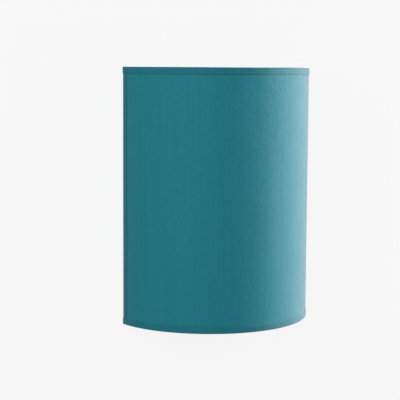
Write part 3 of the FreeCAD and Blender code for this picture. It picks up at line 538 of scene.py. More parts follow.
@dataclass(frozen=True)
class WovenCloth(Finish):
    """Plain-woven slub cloth with a crepe feel and a soft pile that lights up at grazing angles."""

    colour: Colour = (0.0056, 0.168, 0.212)
    warp_pitch: float = 0.42 * MM
    weft_pitch: float = 0.50 * MM
    slub_shade: float = 0.07
    even_share: float = 0.35
    # Painted shade in the weave's gaps and beside taped edges: how strong it is in the gaps, and how dark a tone of the
    # colour it uses.
    gap_shade_depth: float = 0.35
    painted_shade_share: float = 0.25
    relief: float = 0.11 * MM
    relief_strength: float = 0.8
    thread_height: float = 0.6
    slub_height: float = 0.8
    fuzz_height: float = 0.25
    fuzz_cells: float = 2600.0
    crepe_height: float = 3.2
    crepe_cells: float = 420.0
    sheen: float = 1.0
    sheen_roughness: float = 0.30
    sheen_tint: Colour = (1.0, 0.97, 0.95)
    roughness: Point = (0.78, 0.66)
    specular: float = 0.22
    # Painted shade lines beside the taped edges: where they run, how wide they are and how dark.
    shade_lines_across: tuple[float, ...] = ()
    shade_lines_along: tuple[float, ...] = ()
    shade_line_width: float = 1.0 * MM
    shade_line_depth: float = 0.25

    def lay(self, surface: Surface) -> None:
        """Feeds the shader: yarn in the colour, painted shade in the weave's gaps and beside taped edges, and four
        layers of relief.

        Args:
            surface: the material under construction.
        """
        bench, effects = surface.bench, surface.effects
        cloth = surface.coordinates["UV"]
        pitches = {"Warp_Pitch": self.warp_pitch, "Weft_Pitch": self.weft_pitch}
        weave = surface.effect(effects.weave, Vector=cloth, **pitches)
        slubs = surface.effect(effects.slubs, Vector=cloth)
        fuzz = surface.effect(effects.grain, Scale=self.fuzz_cells)
        crepe = surface.effect(effects.grain, Scale=self.crepe_cells)
        dark, light = (toned(self.colour, 1.0 + shade) for shade in (-self.slub_shade, self.slub_shade))
        yarn = bench.blend(slubs["Streak"], dark, light)
        dyed = bench.blend(bench.times(fuzz["Mottle"], self.even_share), yarn, self.colour)
        # Painted shade: the weave's gaps and the lines beside taped edges are darkened towards a dark tone of the
        # cloth's own colour.
        painted_gap_shade = bench.times(weave["Gap"], self.gap_shade_depth)
        lines = bench.times(self._painted_shade_lines(surface, cloth), self.shade_line_depth)
        painted_shade_colour = toned(self.colour, self.painted_shade_share)
        height = bench.weighed(
            (weave["Height"], self.thread_height),
            (slubs["Height"], self.slub_height),
            (fuzz["Height"], self.fuzz_height),
            (crepe["Height"], self.crepe_height),
        )
        surface.set(
            Base_Color=bench.blend(bench.math("MAXIMUM", painted_gap_shade, lines), dyed, painted_shade_colour),
            Roughness=bench.ramp(slubs["Streak"], 0.0, 1.0, *self.roughness),
            Normal=bench.bump(height, self.relief, self.relief_strength),
            Specular_IOR_Level=self.specular,
            Sheen_Weight=self.sheen,
            Sheen_Roughness=self.sheen_roughness,
            Sheen_Tint=self.sheen_tint,
        )

    def _painted_shade_lines(self, surface: Surface, cloth: Socket) -> Socket:
        """Painted shade: the dark lines beside taped edges.

        Args:
            surface: the material under construction.
            cloth: the cloth's own place, in metres.

        Returns:
            Their mask.
        """
        bench = surface.bench
        along, across, _ = bench.axes(cloth)
        lines = [(across, place) for place in self.shade_lines_across]
        lines += [(bench.math("ABSOLUTE", along), place) for place in self.shade_lines_along]
        mask = bench.math("MAXIMUM", 0.0)
        for measure, place in lines:
            line = surface.effect(surface.effects.line, Measure=measure, Place=place, Width=self.shade_line_width)
            mask = bench.math("MAXIMUM", mask, line["Mask"])
        return mask


@dataclass(frozen=True)
class GrainedFinish(Finish):
    """A finish with a fine grain, which mottles its gloss and gives its relief."""

    colour: Colour
    roughness: Point
    grain: float = 1500.0
    relief: float = 0.03 * MM
    relief_strength: float = 0.5

    def lay(self, surface: Surface) -> None:
        """Feeds roughness and relief from the grain. Each finish adds its colour.

        Args:
            surface: the material under construction.
        """
        grain = surface.effect(surface.effects.grain, Scale=self.grain)
        surface.mottle = grain["Mottle"]
        surface.roughness = surface.bench.ramp(surface.mottle, 0.0, 1.0, *self.roughness)
        normal = surface.bench.bump(grain["Height"], self.relief, self.relief_strength)
        surface.set(Roughness=surface.roughness, Normal=normal)


@dataclass(frozen=True)
class MilkyWhite(GrainedFinish):
    """White that lets a little light in, with a cloudy tone: the shade's liner and the bulb's globe."""

    cloud: Colour = (0.73, 0.73, 0.72)
    specular: float = 0.5
    translucency: float = 0.15
    light_depth: float = 6.0 * MM

    def lay(self, surface: Surface) -> None:
        """Adds a cloudy tone and the light let in.

        Args:
            surface: the material under construction.
        """
        super().lay(surface)
        surface.set(
            Base_Color=surface.bench.blend(surface.mottle, self.colour, self.cloud),
            Specular_IOR_Level=self.specular,
            Subsurface_Weight=self.translucency,
            Subsurface_Scale=self.light_depth,
        )


@dataclass(frozen=True)
class Coating(GrainedFinish):
    """Paint, moulded plastic, glaze or rubber: one colour with grain, scuffs and a little dust."""

    scuff: float = 0.25
    scuff_colour: Colour = (0.45, 0.45, 0.43)
    dust: float = 0.12
    dust_colour: Colour = (0.52, 0.50, 0.47)
    dust_roughness: float = 0.8
    shade: float = 0.96
    coat: float = 0.0
    coat_roughness: float = 0.08
    translucency: float = 0.0
    light_depth: float = 3.0 * MM

    def lay(self, surface: Surface) -> None:
        """Adds scuffs, dust and glaze.

        Args:
            surface: the material under construction.
        """
        super().lay(surface)
        bench, effects = surface.bench, surface.effects
        scuffs = surface.effect(effects.scuffs, Amount=self.scuff)["Mask"]
        dust = surface.effect(effects.dust, Normal=surface.coordinates["Normal"], Amount=self.dust)["Mask"]
        clean = bench.blend(surface.mottle, toned(self.colour, self.shade), self.colour)
        worn = bench.blend(scuffs, clean, self.scuff_colour)
        surface.set(
            Base_Color=bench.blend(dust, worn, self.dust_colour),
            Roughness=bench.plus(surface.roughness, bench.times(dust, self.dust_roughness)),
            Coat_Weight=self.coat,
            Coat_Roughness=self.coat_roughness,
            Subsurface_Weight=self.translucency,
            Subsurface_Scale=self.light_depth,
        )


@dataclass(frozen=True)
class Metal(GrainedFinish):
    """Bare or plated metal with a mottled plating and rubbed spots."""

    grain: float = 2400.0
    relief: float = 0.02 * MM
    relief_strength: float = 0.4
    scuff: float = 0.4
    tarnish: Colour = (0.30, 0.27, 0.22)
    tarnish_share: float = 0.2
    rubbed: float = -0.15

    def lay(self, surface: Surface) -> None:
        """Adds tarnish and rubbed spots.

        Args:
            surface: the material under construction.
        """
        super().lay(surface)
        bench = surface.bench
        scuffs = surface.effect(surface.effects.scuffs, Amount=self.scuff)["Mask"]
        dulled = bench.times(surface.mottle, self.tarnish_share)
        surface.set(
            Base_Color=bench.blend(dulled, self.colour, self.tarnish),
            Metallic=1.0,
            Roughness=bench.plus(surface.roughness, bench.times(scuffs, self.rubbed)),
        )


@dataclass(frozen=True)
class StripedInsulation(GrainedFinish):
    """Earth insulation: green with a yellow stripe down each side of the wire."""

    stripe_colour: Colour = Core.EARTH_YELLOW.value
    stripe: Point = (0.60, 0.66)

    def lay(self, surface: Surface) -> None:
        """Adds the stripes.

        Args:
            surface: the material under construction.
        """
        super().lay(surface)
        bench = surface.bench
        sideways = bench.math("ABSOLUTE", bench.axes(surface.coordinates["Normal"])[0])
        surface.set(Base_Color=bench.blend(bench.ramp(sideways, *self.stripe), self.colour, self.stripe_colour))


class FinishShelf:
    """Every finish of the light, by the slot that it belongs to."""

    def __init__(self, effects: Effects, shade: ShadeSizes) -> None:
        """Makes the materials.

        Args:
            effects: the shared groups.
            shade: the shade's measures, for the painted shade lines beside its hems.
        """
        # Painted shade lines: on the cover beside the hems' inner edges, and on each hem along its raw edge.
        cover_shade_lines = {"shade_lines_across": shade.tape_edges_z, "shade_lines_along": (shade.tape_edge_along,)}
        hem_shade_line = {"shade_lines_across": (0.0,), "shade_line_width": 0.6 * MM, "shade_line_depth": 0.35}
        wire = {"roughness": (0.37, 0.47), "grain": 1800.0, "scuff": 0.1}
        thick, thin = {"relief": 0.05 * MM}, {"relief": 0.02 * MM}
        pressed = {**thick, "relief_strength": 0.35, "specular": 0.4, "translucency": 0.08, "light_depth": 2.0 * MM}
        browned = {"tarnish": (0.28, 0.18, 0.08), "tarnish_share": 0.35}
        greyed = {"tarnish": (0.4, 0.37, 0.3), "tarnish_share": 0.25, "scuff": 0.5}
        chalked = {"scuff": 0.15, "scuff_colour": (0.1, 0.1, 0.1), "dust": 0.3}
        plastic, milky = (0.72, 0.72, 0.70), (0.74, 0.73, 0.68)
        liner, liner_cloud = (0.703, 0.6935, 0.665), (0.74, 0.73, 0.70)
        finishes = {
            "cover_cloth": WovenCloth("teal slub cloth", **cover_shade_lines),
            "hem_cloth": WovenCloth("teal hem tape", (0.0048, 0.140, 0.178), **hem_shade_line),
            "liner": MilkyWhite("white shade liner", liner, (0.46, 0.56), 900.0, cloud=liner_cloud, **pressed),
            "frame_wire": Coating("white dipped wire", (0.72, 0.72, 0.69), (0.29, 0.39), 1100.0, scuff=0.5, **thick),
            "bracket_paint": Coating("white powder coat", (0.70, 0.70, 0.68), (0.37, 0.47), 1700.0, scuff=0.5, **thick),
            "zinc_steel": Metal("zinc plated steel", (0.62, 0.63, 0.62), (0.26, 0.44)),
            "brass": Metal("plain brass", (0.70, 0.50, 0.22), (0.24, 0.42), **browned),
            "rubber": Coating("black rubber", (0.018, 0.018, 0.018), (0.57, 0.67), 1300.0, **thick, **chalked),
            "block_plastic": Coating("milky terminal moulding", milky, (0.33, 0.43), 1200.0, translucency=0.12),
            "live_insulation": Coating("brown insulation", Core.LIVE.value, **wire),
            "neutral_insulation": Coating("blue insulation", Core.NEUTRAL.value, **wire),
            "earth_insulation": StripedInsulation(
                "earth insulation", Core.EARTH_GREEN.value, (0.36, 0.48), 1800.0, relief_strength=0.4, **thin
            ),
            "holder_plastic": Coating("white holder moulding", plastic, (0.19, 0.29), 1000.0, scuff=0.2, **thin),
            "porcelain": Coating("glazed core", (0.76, 0.74, 0.69), (0.15, 0.25), 500.0, scuff=0.1, coat=0.6),
            "insulator_black": Coating("black insulator", (0.015, 0.015, 0.016), (0.13, 0.23), 900.0, coat=0.3),
            "nickel_cap": Metal("nickel plated cap", (0.70, 0.68, 0.63), (0.16, 0.34), **greyed),
            "bulb_plastic": Coating("white bulb body", (0.72, 0.72, 0.71), (0.25, 0.35), 900.0, scuff=0.1, **thin),
            "led_board": Coating("board lacquer", (0.80, 0.80, 0.80), (0.25, 0.35), scuff=0.0),
            "led_chip": Coating("phosphor", (0.80, 0.56, 0.06), (0.40, 0.50), 3000.0, scuff=0.0, dust=0.0),
            "opal": MilkyWhite("opal diffuser", (0.76, 0.76, 0.74), (0.28, 0.36), 700.0, relief_strength=0.3, **thin),
        }
        self.by_slot = {slot: finish.build(effects) for slot, finish in finishes.items()}

    def dress(self, piece: Piece, slot: str) -> None:
        """Gives a piece the one finish of its slot.

        Args:
            piece: the piece.
            slot: the record's material slot.
        """
        piece.data.materials.clear()
        piece.data.materials.append(self.by_slot[slot])
        for polygon in piece.data.polygons:
            polygon.material_index = 0


# ---------------------------------------------------------------- the modelling bench


class Modeller:
    """Shapes one mesh with edit-mode operators."""

    def __init__(self, name: str) -> None:
        """Remembers the piece's name. The piece itself comes from the first shaping call."""
        self.name = name
        self.piece: Piece | None = None

    @staticmethod
    def deselect() -> None:
        """Leaves edit mode and deselects everything."""
        if bpy.context.object and bpy.context.object.mode != "OBJECT":
            bpy.ops.object.mode_set(mode="OBJECT")
        bpy.ops.object.select_all(action="DESELECT")

    def _adopt(self) -> None:
        """Takes the primitive that was just added as the piece."""
        self.piece = bpy.context.object
        self.piece.name = self.piece.data.name = self.name

    def _hold(self) -> None:
        """Selects the piece alone and makes it active."""
        self.deselect()
        self.piece.select_set(True)
        bpy.context.view_layer.objects.active = self.piece

    def edit(self) -> None:
        """Goes into edit mode with the whole mesh selected."""
        self._hold()
        bpy.ops.object.mode_set(mode="EDIT")
        bpy.ops.mesh.select_all(action="SELECT")

    def leave(self) -> None:
        """Goes back to object mode."""
        bpy.ops.object.mode_set(mode="OBJECT")

    def _face_out(self) -> None:
        """Turns all faces outwards and leaves edit mode."""
        bpy.ops.mesh.select_all(action="SELECT")
        bpy.ops.mesh.normals_make_consistent(inside=False)
        self.leave()

    def drawn_path(self, path: list[Vector]) -> None:
        """Draws an open line: a plane merged to one corner, which is then extruded from point to point.

        Args:
            path: the points, in order.
        """
        self.deselect()
        bpy.ops.mesh.primitive_plane_add(size=MM, location=(0, 0, 0))
        self._adopt()
        self.edit()
        bpy.ops.mesh.merge(type="CENTER")
        bpy.ops.transform.translate(value=path[0])
        for before, after in zip(path, path[1:]):
            bpy.ops.mesh.extrude_region_move(TRANSFORM_OT_translate={"value": after - before})
        self.leave()

    def spun(self, turn: float, steps: int, centre: Vector) -> None:
        """Spins the drawn line about an upright axis.

        Args:
            turn: how far, in radians. A full turn is closed.
            steps: how many faces round.
            centre: a point of the axis.
        """
        self.edit()
        bpy.ops.mesh.spin(steps=steps, angle=turn, center=centre, axis=(0, 0, 1))
        bpy.ops.mesh.select_all(action="SELECT")
        bpy.ops.mesh.remove_doubles(threshold=0.01 * MM)
        self._face_out()

    def pulled(self, way: Vector) -> None:
        """Extrudes the drawn line along a straight way."""
        self.edit()
        bpy.ops.mesh.extrude_region_move(TRANSFORM_OT_translate={"value": way})
        self._face_out()

    def open_cylinder(self, radius: float, height: float, base_z: float, vertices: int) -> None:
        """A cylinder wall with no ends, about the Z axis.

        Args:
            radius: of the wall.
            height: of the wall.
            base_z: height of its lower edge.
            vertices: faces round.
        """
        self.deselect()
        middle = (0, 0, base_z + height / 2)
        bpy.ops.mesh.primitive_cylinder_add(
            vertices=vertices, radius=radius, depth=height, end_fill_type="NOTHING", location=middle
        )
        self._adopt()
        bpy.ops.object.transform_apply(location=True, rotation=True, scale=True)

    def cut_behind(self, y: float) -> None:
        """Cuts away what lies nearer to the wall than a plane."""
        self.edit()
        bpy.ops.mesh.bisect(plane_co=(0, y, 0), plane_no=(0, 1, 0), clear_outer=True)
        self.leave()

    def level_loops(self, heights: list[float]) -> None:
        """Adds level edge loops.

        Args:
            heights: where.
        """
        for z in heights:
            self.edit()
            bpy.ops.mesh.bisect(plane_co=(0, 0, z), plane_no=(0, 0, 1))
            self.leave()

    def modifier(self, kind: str, **settings: object) -> None:
        """Adds a modifier and applies it.

        Args:
            kind: the modifier's type.
            settings: its attributes, by name.
        """
        self._hold()
        modifier = self.piece.modifiers.new(kind.title(), kind)
        for name, value in settings.items():
            setattr(modifier, name, value)
        bpy.ops.object.modifier_apply(modifier=modifier.name)

    def smooth(self, degrees: float) -> None:
        """Shades smooth up to an angle."""
        self._hold()
        bpy.ops.object.shade_smooth_by_angle(angle=math.radians(degrees))

    def lay_cloth(self, radius: float) -> None:
        """Lays the thread directions: U is the way round the drum and V is the height, both in metres."""
        self._lay_uv(lambda at: (way_round(at, radius), at.z))

    def lay_tape(
        self, path: list[Point], section: Callable[[Vector], Point], along: Callable[[Vector], float]
    ) -> None:
        """Lays a folded tape: U is the way along it and V is the way across from its raw edge, both in metres.

        Args:
            path: the points of its section.
            section: gives a vertex's place in that section.
            along: gives a vertex's way along the tape.
        """
        ways = [0.0]
        for before, after in zip(path, path[1:]):
            ways.append(ways[-1] + math.dist(before, after))

        def across(at: Vector) -> float:
            """Way across at the nearest point of the section."""
            place = section(at)
            return min(zip(path, ways), key=lambda stop: math.dist(stop[0], place))[1]

        self._lay_uv(lambda at: (along(at), across(at)))

    def copy_of(self, source: Piece) -> None:
        """Takes a copy of a solid, with a mesh of its own, as the piece.

        Args:
            source: the solid.
        """
        self.piece = source.copy()
        self.piece.data = source.data.copy()
        self.piece.parent = None
        self.piece.matrix_world = Matrix.Identity(4)
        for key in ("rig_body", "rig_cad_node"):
            if key in self.piece:
                del self.piece[key]
        bpy.context.scene.collection.objects.link(self.piece)
        self.piece.name = self.piece.data.name = self.name

    def eased_corners(self, width: float, steps: int, sharpness: float) -> None:
        """Rounds off sharp edges.

        Args:
            width: of the rounding.
            steps: faces across it.
            sharpness: the least angle that counts as sharp, in degrees.
        """
        self.modifier(
            "BEVEL",
            width=width,
            segments=steps,
            limit_method="ANGLE",
            angle_limit=math.radians(sharpness),
            use_clamp_overlap=True,
        )

    def _lay_uv(self, rule: Callable[[Vector], Point]) -> None:
        """Puts one UV map where the primitive's own was.

        Args:
            rule: gives U and V from a vertex's place.
        """
        while self.piece.data.uv_layers:
            self.piece.data.uv_layers.remove(self.piece.data.uv_layers[0])
        places = [rule(vertex.co) for vertex in self.piece.data.vertices]
        layer = self.piece.data.uv_layers.new(name="cloth")
        for loop in self.piece.data.loops:
            layer.data[loop.index].uv = places[loop.vertex_index]


def way_round(at: Vector, radius: float) -> float:
    """Way round a drum from its middle in front."""
    return math.atan2(at.x, -at.y) * radius


def arc_points(centre: Point, radius: float, start: float, end: float, count: int) -> list[Point]:
    """Points along an arc, both ends included.

    Args:
        centre: of the arc, in its own plane.
        radius: of the arc.
        start: angle of the first point, in degrees.
        end: angle of the last point, in degrees.
        count: how many spans.

    Returns:
        The points.
    """
    angles = [math.radians(start + (end - start) * i / count) for i in range(count + 1)]
    return [(centre[0] + radius * math.cos(a), centre[1] + radius * math.sin(a)) for a in angles]


def fit(piece: Piece, body: str, *nodes: str) -> Piece:
    """Puts a finished piece on its body in place of its solids.

    Args:
        piece: the piece.
        body: the body it moves with.
        nodes: the solids that it stands for.

    Returns:
        The piece.
    """
    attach(piece, body)
    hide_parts(*nodes)
    LOG.info("%s stands for %s on %s: %d faces", piece.name, ", ".join(nodes), body, len(piece.data.polygons))
    return piece


# ---------------------------------------------------------------- shade


@dataclass
class ClothShade:
    """The cloth, its four hems and the liner behind them."""

    finishes: FinishShelf
    sizes: ShadeSizes
    faces_round: int = 360
    rows: int = 12
    fold_bulge: float = 0.06 * MM
    fold_radius: float = 1.1 * MM
    edge: float = 0.07 * MM
    corner: float = 60.0
    smooth_to: float = 40.0
    fold_smooth_to: float = 50.0
    tail_turn: float = 0.6 * MM
    body: str = "shade"

    def build(self) -> list[Piece]:
        """Returns:
            The pieces of cloth.
        """
        sizes = self.sizes
        self._panel("liner_sheet", "shade_liner", "liner", sizes.liner_out)
        hems = [self._rim_hem(rim) for rim in Rim] + [self._side_hem(side) for side in Side]
        cover = self._panel("cloth_cover", "shade_cover", "cover_cloth", sizes.radius)
        return [cover, *hems]

    def _panel(self, name: str, node: str, slot: str, radius: float) -> Piece:
        """A half drum of thin sheet.

        Args:
            name: of the piece.
            node: the solid that it stands for.
            slot: its finish.
            radius: of its outside.

        Returns:
            The piece.
        """
        tool = Modeller(name)
        base, top = self.sizes.cover_z
        tool.open_cylinder(radius, top - base, base, self.faces_round)
        tool.cut_behind(self.sizes.edge_y)
        tool.level_loops([base + (top - base) * i / self.rows for i in range(1, self.rows)])
        tool.lay_cloth(radius)
        tool.modifier("SOLIDIFY", thickness=self.sizes.cloth, offset=-1.0, use_even_offset=True)
        tool.smooth(self.smooth_to)
        self.finishes.dress(tool.piece, slot)
        return fit(tool.piece, self.body, node)

    def _strip(self, length: float) -> list[Point]:
        """How far the tape stands off and how far it has come, from its raw edge to its fold.

        Args:
            length: from the raw edge to the fold's beginning.

        Returns:
            Pairs of lift and way.
        """
        bulge = self.fold_bulge
        edge = ((0.0, -0.20 * MM), (0.02, -0.18 * MM), (0.09, -0.02 * MM), (0.11, 0.0))
        shares = edge + ((0.25, bulge), (0.55, 0.7 * bulge), (0.95, bulge), (1.0, bulge))
        return [(lift, length * share) for share, lift in shares]

    def _rim_hem(self, rim: Rim) -> Piece:
        """The folded hem along a rim: strip outside, fold over the edge, round the wire and down inside.

        Args:
            rim: which one.

        Returns:
            The piece.
        """
        sizes = self.sizes
        half = sizes.cloth / 2
        rim_z = max(sizes.rim_z) if rim is Rim.TOP else min(sizes.rim_z)
        wire_depth = sizes.cloth + sizes.wire_radius
        round_r = sizes.wire_radius + half
        out_r = sizes.radius + half
        fold = self.fold_radius
        profile = [(out_r + lift, sizes.hem_width - way) for lift, way in self._strip(sizes.hem_width - half - fold)]
        profile += [(x, half + fold - y) for x, y in arc_points((out_r - fold, 0.0), fold, 0, 90, 6)]
        profile += [(x, wire_depth - y) for x, y in arc_points((sizes.ring_radius, 0.0), round_r, 90, 270, 10)]
        tail_r = sizes.liner_in - half
        profile += [(tail_r, wire_depth + round_r + self.tail_turn), (tail_r, sizes.hem_width)]
        points = [(r, rim_z - rim.value * depth) for r, depth in profile]
        start = math.asin(sizes.wall_y / sizes.radius)
        tool = Modeller(f"{rim.name.lower()}_hem_tape")
        tool.drawn_path([Vector((r * math.cos(start), r * math.sin(start), z)) for r, z in points])
        tool.spun(math.pi + 2 * start, self.faces_round // 2, Vector((0, 0, 0)))
        tool.lay_tape(points, lambda at: (math.hypot(at.x, at.y), at.z), lambda at: way_round(at, sizes.radius))
        return self._finish_hem(tool, f"{rim.name.lower()}_hem")

    def _side_hem(self, side: Side) -> Piece:
        """The folded hem down an upright edge, drawn in plan and pulled up between the rim hems.

        Args:
            side: which one.

        Returns:
            The piece.
        """
        sizes = self.sizes
        half = sizes.cloth / 2
        out_r = sizes.radius + half
        tail_r = sizes.liner_in - half
        round_r = sizes.wire_radius + half
        fold = self.fold_radius
        upright = (abs(sizes.upright[0]), sizes.upright[1])
        low_z, high_z = sizes.tape_edges_z

        def on(radius: float, y: float) -> Point:
            """The point of a circle at a distance from the wall."""
            return (math.sqrt(radius * radius - y * y), y)

        end_y = sizes.wall_y - sizes.hem_width
        plan = [on(out_r + lift, end_y + way) for lift, way in self._strip(sizes.hem_width - half - fold)]
        plan += arc_points((out_r - fold, sizes.wall_y - half - fold), fold, 0, 90, 6)
        plan += arc_points((upright[0] - round_r + fold, sizes.wall_y - half - fold), fold, 90, 180, 5)
        plan += arc_points(upright, round_r, 180, 270, 6)
        plan += [on(tail_r, upright[1] - round_r - self.tail_turn), on(tail_r, end_y)]
        tool = Modeller(f"{side.name.lower()}_hem_tape")
        tool.drawn_path([Vector((side.value * x, y, low_z)) for x, y in plan])
        tool.pulled(Vector((0, 0, high_z - low_z)))
        tool.lay_tape(plan, lambda at: (abs(at.x), at.y), lambda at: at.z)
        return self._finish_hem(tool, f"{side.name.lower()}_hem")

    def _finish_hem(self, tool: Modeller, node: str) -> Piece:
        """Gives a hem its thickness, eased edges and finish.

        Args:
            tool: the hem's modeller.
            node: the solid that it stands for.

        Returns:
            The piece.
        """
        tool.modifier("SOLIDIFY", thickness=self.sizes.cloth, offset=0.0, use_even_offset=True)
        tool.eased_corners(self.edge, 2, self.corner)
        tool.smooth(self.fold_smooth_to)
        self.finishes.dress(tool.piece, "hem_cloth")
        return fit(tool.piece, self.body, node)


# ---------------------------------------------------------------- rigid pieces


@dataclass
class RigidGroup:
    """Rigid pieces that belong together: each is its solid's copy, merged, with its corners eased where the group gives
    an edge width.
    """

    finishes: FinishShelf
    nodes: tuple[str, ...] = ()
    edge: float = 0.0
    edge_steps: int = 2
    corner: float = 38.0
    smooth_to: float = 35.0
    merge: float = 0.002 * MM
    flat_to: float = 0.5

    def build(self) -> None:
        """Makes every piece of the group on the body that its solid moves with."""
        record = frame["record"]
        slots = {part["node"]: part["material_slot"] for part in record["subparts"]}
        bodies = {node: body for body, nodes in record["behaviour"]["bodies"].items() for node in nodes}
        for node in self.nodes:
            piece = self._eased(node)
            self.finishes.dress(piece, slots[node])
            fit(piece, bodies[node], node)

    def _eased(self, node: str) -> Piece:
        """Shapes one piece.

        Args:
            node: the solid that it is made from.

        Returns:
            The piece.
        """
        tool = Modeller(f"{node}_finished")
        tool.copy_of(frame["nodes"][node])
        tool.edit()
        bpy.ops.mesh.remove_doubles(threshold=self.merge)
        bpy.ops.mesh.dissolve_limited(angle_limit=math.radians(self.flat_to), delimit={"NORMAL"})
        tool.leave()
        if self.edge > 0:
            tool.eased_corners(self.edge, self.edge_steps, self.corner)
        tool.smooth(self.smooth_to)
        return tool.piece


@dataclass
class WireFrame(RigidGroup):
    """The wires that keep the cloth's shape, and the bar that drops into the bracket's hooks."""

    nodes: tuple[str, ...] = (
        "top_ring", "bottom_ring", "left_upright", "right_upright", "top_back_bar", "hanging_bar"
    )


@dataclass
class Bracket(RigidGroup):
    """The folded wall plate with its hooks, cable bush and riveted lamp arm."""

    nodes: tuple[str, ...] = ("backplate", "lamp_arm", "cable_bush", "arm_rivets")
    edge: float = 0.15 * MM


@dataclass
class Wiring(RigidGroup):
    """The terminal block, the earth fixing and the three wires between wall and lampholder."""

    nodes: tuple[str, ...] = (
        "terminal_rivets", "terminal_block", "terminal_inserts", "terminal_screws", "earth_lug", "earth_washer",
        "earth_screw", "earth_nut", "live_wire", "neutral_wire", "earth_wire"
    )
    edge: float = 0.15 * MM


@dataclass
class Lampholder(RigidGroup):
    """The holder on its threaded tube, with its core, screw shell and contacts."""

    nodes: tuple[str, ...] = (
        "holder_nipple", "nipple_washer", "nipple_nut", "holder_cap", "holder_skirt", "contact_core", "screw_shell",
        "centre_contact", "holder_clamps", "holder_screws"
    )
    edge: float = 0.15 * MM


@dataclass
class Bulb(RigidGroup):
    """The lamp: contacts, screw cap, body, board with its chips, and milky globe."""

    nodes: tuple[str, ...] = (
        "bulb_tip_contact", "bulb_insulator", "bulb_screw_cap", "bulb_housing", "led_board", "led_chips",
        "bulb_globe"
    )
    edge: float = 0.1 * MM


# ---------------------------------------------------------------- studio


def stand(data: bpy.types.Camera | bpy.types.Light, place: Vector, turned: Quaternion) -> Piece:
    """Puts a camera or a lamp in the studio.

    Args:
        data: the camera or lamp.
        place: where it stands.
        turned: which way it faces.

    Returns:
        Its object.
    """
    thing = bpy.data.objects.new(data.name, data)
    bpy.context.scene.collection.objects.link(thing)
    thing.location = place
    thing.rotation_mode = "QUATERNION"
    thing.rotation_quaternion = turned
    return thing


@dataclass(frozen=True)
class SoftBox:
    """A rectangular soft lamp. Its azimuth is in degrees to the right of straight in front."""

    name: str
    azimuth: float
    elevation: float
    distance: float
    size: Point
    power: float
    colour: Colour = (1.0, 1.0, 1.0)

    def place(self, aim: Vector) -> Piece:
        """Makes the lamp.

        Args:
            aim: the point that it faces.

        Returns:
            The lamp.
        """
        data = bpy.data.lights.new(self.name, "AREA")
        data.color = self.colour
        data.shape = "RECTANGLE"
        data.size, data.size_y = self.size
        data.energy = self.power
        turn, rise = math.radians(self.azimuth), math.radians(self.elevation)
        way = Vector((math.sin(turn) * math.cos(rise), -math.cos(turn) * math.cos(rise), math.sin(rise)))
        return stand(data, aim + way * self.distance, (-way).to_track_quat("-Z", "Y"))


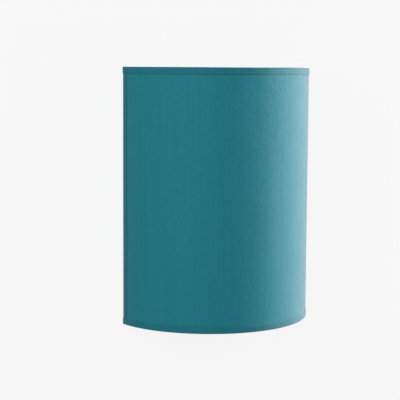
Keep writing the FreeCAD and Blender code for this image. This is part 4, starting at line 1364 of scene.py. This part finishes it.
@dataclass
class Studio:
    """Pale wall and floor, soft lamps and the camera of the photograph.

    The camera's distance and eye height are in shade radii, its angles in degrees.
    """

    cloth: list[Piece]
    shade_radius: float = 120.0 * MM
    shade_bottom: float = -130.0 * MM
    distance: float = 12.25
    eye_height: float = 2.52
    azimuth: float = 35.03
    yaw: float = 34.66
    pitch: float = 6.333
    roll: float = 0.327
    focal_pixels: float = 1217.4
    frame_pixels: float = 400.0
    sensor: float = 36.0
    sight: float = 50.0
    backdrop: Colour = (0.922, 0.922, 0.922)
    backdrop_glow: float = 0.955
    backdrop_matt: Colour = (0.06, 0.06, 0.06)
    backdrop_size: float = 7.0
    ambient: Colour = (0.97, 0.985, 1.0)
    ambient_strength: float = 0.27
    wall_gap: float = 0.4 * MM
    floor_drop: float = 1.1
    aim_height: float = 1.25
    aim_out: float = 0.05
    rose: Colour = (1.0, 0.87, 0.85)

    def build(self) -> None:
        """Makes the camera, the backdrop and the lamps."""
        self._camera()
        self._backdrop()
        self._world()
        self._lamps()

    def _camera(self) -> None:
        """A camera left of the light, a little above its top rim."""
        data = bpy.data.cameras.new("camera")
        data.sensor_width = self.sensor
        data.lens = self.focal_pixels / self.frame_pixels * self.sensor
        data.clip_end = self.sight
        azimuth, yaw, pitch, roll = (math.radians(a) for a in (self.azimuth, self.yaw, self.pitch, self.roll))
        reach = self.distance * self.shade_radius
        eye_z = self.shade_bottom + self.eye_height * self.shade_radius
        place = Vector((-reach * math.sin(azimuth), -reach * math.cos(azimuth), eye_z))
        tilt = Matrix.Rotation(math.pi / 2 - pitch, 3, "X") @ Matrix.Rotation(roll, 3, "Z")
        bpy.context.scene.camera = stand(data, place, (Matrix.Rotation(-yaw, 3, "Z") @ tilt).to_quaternion())

    def _paper(self) -> Material:
        """Backdrop paper: pale to the camera from its front, with the light's soft shadow, and open from behind.

        Returns:
            The material.
        """
        material = bpy.data.materials.new("backdrop paper")
        material.use_nodes = True
        bench = NodeBench(material.node_tree)
        material.node_tree.nodes.clear()
        glow = bench.light("ShaderNodeEmission", self.backdrop, self.backdrop_glow)
        matt = bench.add("ShaderNodeBsdfDiffuse", {"Color": self.backdrop_matt}).outputs[0]
        paper = bench.add("ShaderNodeAddShader", {0: glow, 1: matt}).outputs[0]
        behind = bench.add("ShaderNodeNewGeometry").outputs["Backfacing"]
        front = bench.times(bench.rays("Is Camera Ray", "Is Glossy Ray"), bench.math("SUBTRACT", 1.0, behind))
        open_air = bench.add("ShaderNodeBsdfTransparent").outputs[0]
        bench.add("ShaderNodeOutputMaterial", {"Surface": bench.choice(front, open_air, paper)})
        return material

    def _backdrop(self) -> None:
        """A wall right behind the light and a floor below it."""
        paper = self._paper()
        half = self.backdrop_size / 2
        upright = ("wall", (0, self.wall_gap, half - self.floor_drop), math.pi / 2)
        level = ("floor", (0, self.wall_gap - half, -self.floor_drop), 0.0)
        for name, place, tilt in (upright, level):
            Modeller.deselect()
            bpy.ops.mesh.primitive_plane_add(size=self.backdrop_size, location=place, rotation=(tilt, 0, 0))
            sheet = bpy.context.object
            sheet.name = f"backdrop_{name}"
            sheet.data.materials.append(paper)

    def _world(self) -> None:
        """Even pale surroundings."""
        world = bpy.data.worlds.new("surroundings")
        world.use_nodes = True
        bpy.context.scene.world = world
        bench = NodeBench(world.node_tree)
        world.node_tree.nodes.clear()
        seen = bench.light("ShaderNodeBackground", self.backdrop, 1.0)
        ambient = bench.light("ShaderNodeBackground", self.ambient, self.ambient_strength)
        share = bench.rays("Is Camera Ray", "Is Glossy Ray", "Is Transmission Ray")
        bench.add("ShaderNodeOutputWorld", {"Surface": bench.choice(share, ambient, seen)})

    def _lamps(self) -> None:
        """A broad soft front light and a strip from the right, most of which is flagged off all but the cloth."""
        aim = Vector((0.0, -self.aim_out, self.shade_bottom + self.aim_height * self.shade_radius))
        SoftBox("front_soft_box", -54.5, 23.0, 2.2, (1.8, 1.6), 41.0).place(aim)
        SoftBox("right_strip", 73.5, 12.0, 1.8, (0.9, 1.8), 35.0, self.rose).place(aim)
        strip = SoftBox("right_strip_on_cloth", 73.5, 12.0, 1.6, (0.8, 1.6), 52.0, self.rose).place(aim)
        lit = bpy.data.collections.new("cloth in the strip light")
        for piece in self.cloth:
            lit.objects.link(piece)
        strip.light_linking.receiver_collection = lit


def main() -> None:
    """Builds the light in order: finishes, cloth, wire frame, bracket, wiring, lampholder, bulb, studio."""
    logging.basicConfig(level=logging.INFO, format="%(name)s: %(message)s")
    sizes = ShadeSizes.from_frame()
    finishes = FinishShelf(Effects(), sizes)
    cloth = ClothShade(finishes, sizes).build()
    for group in (WireFrame, Bracket, Wiring, Lampholder, Bulb):
        group(finishes).build()
    Studio(cloth).build()
    bpy.context.scene.view_settings.view_transform = "Standard"


if __name__ == "__main__":
    main()
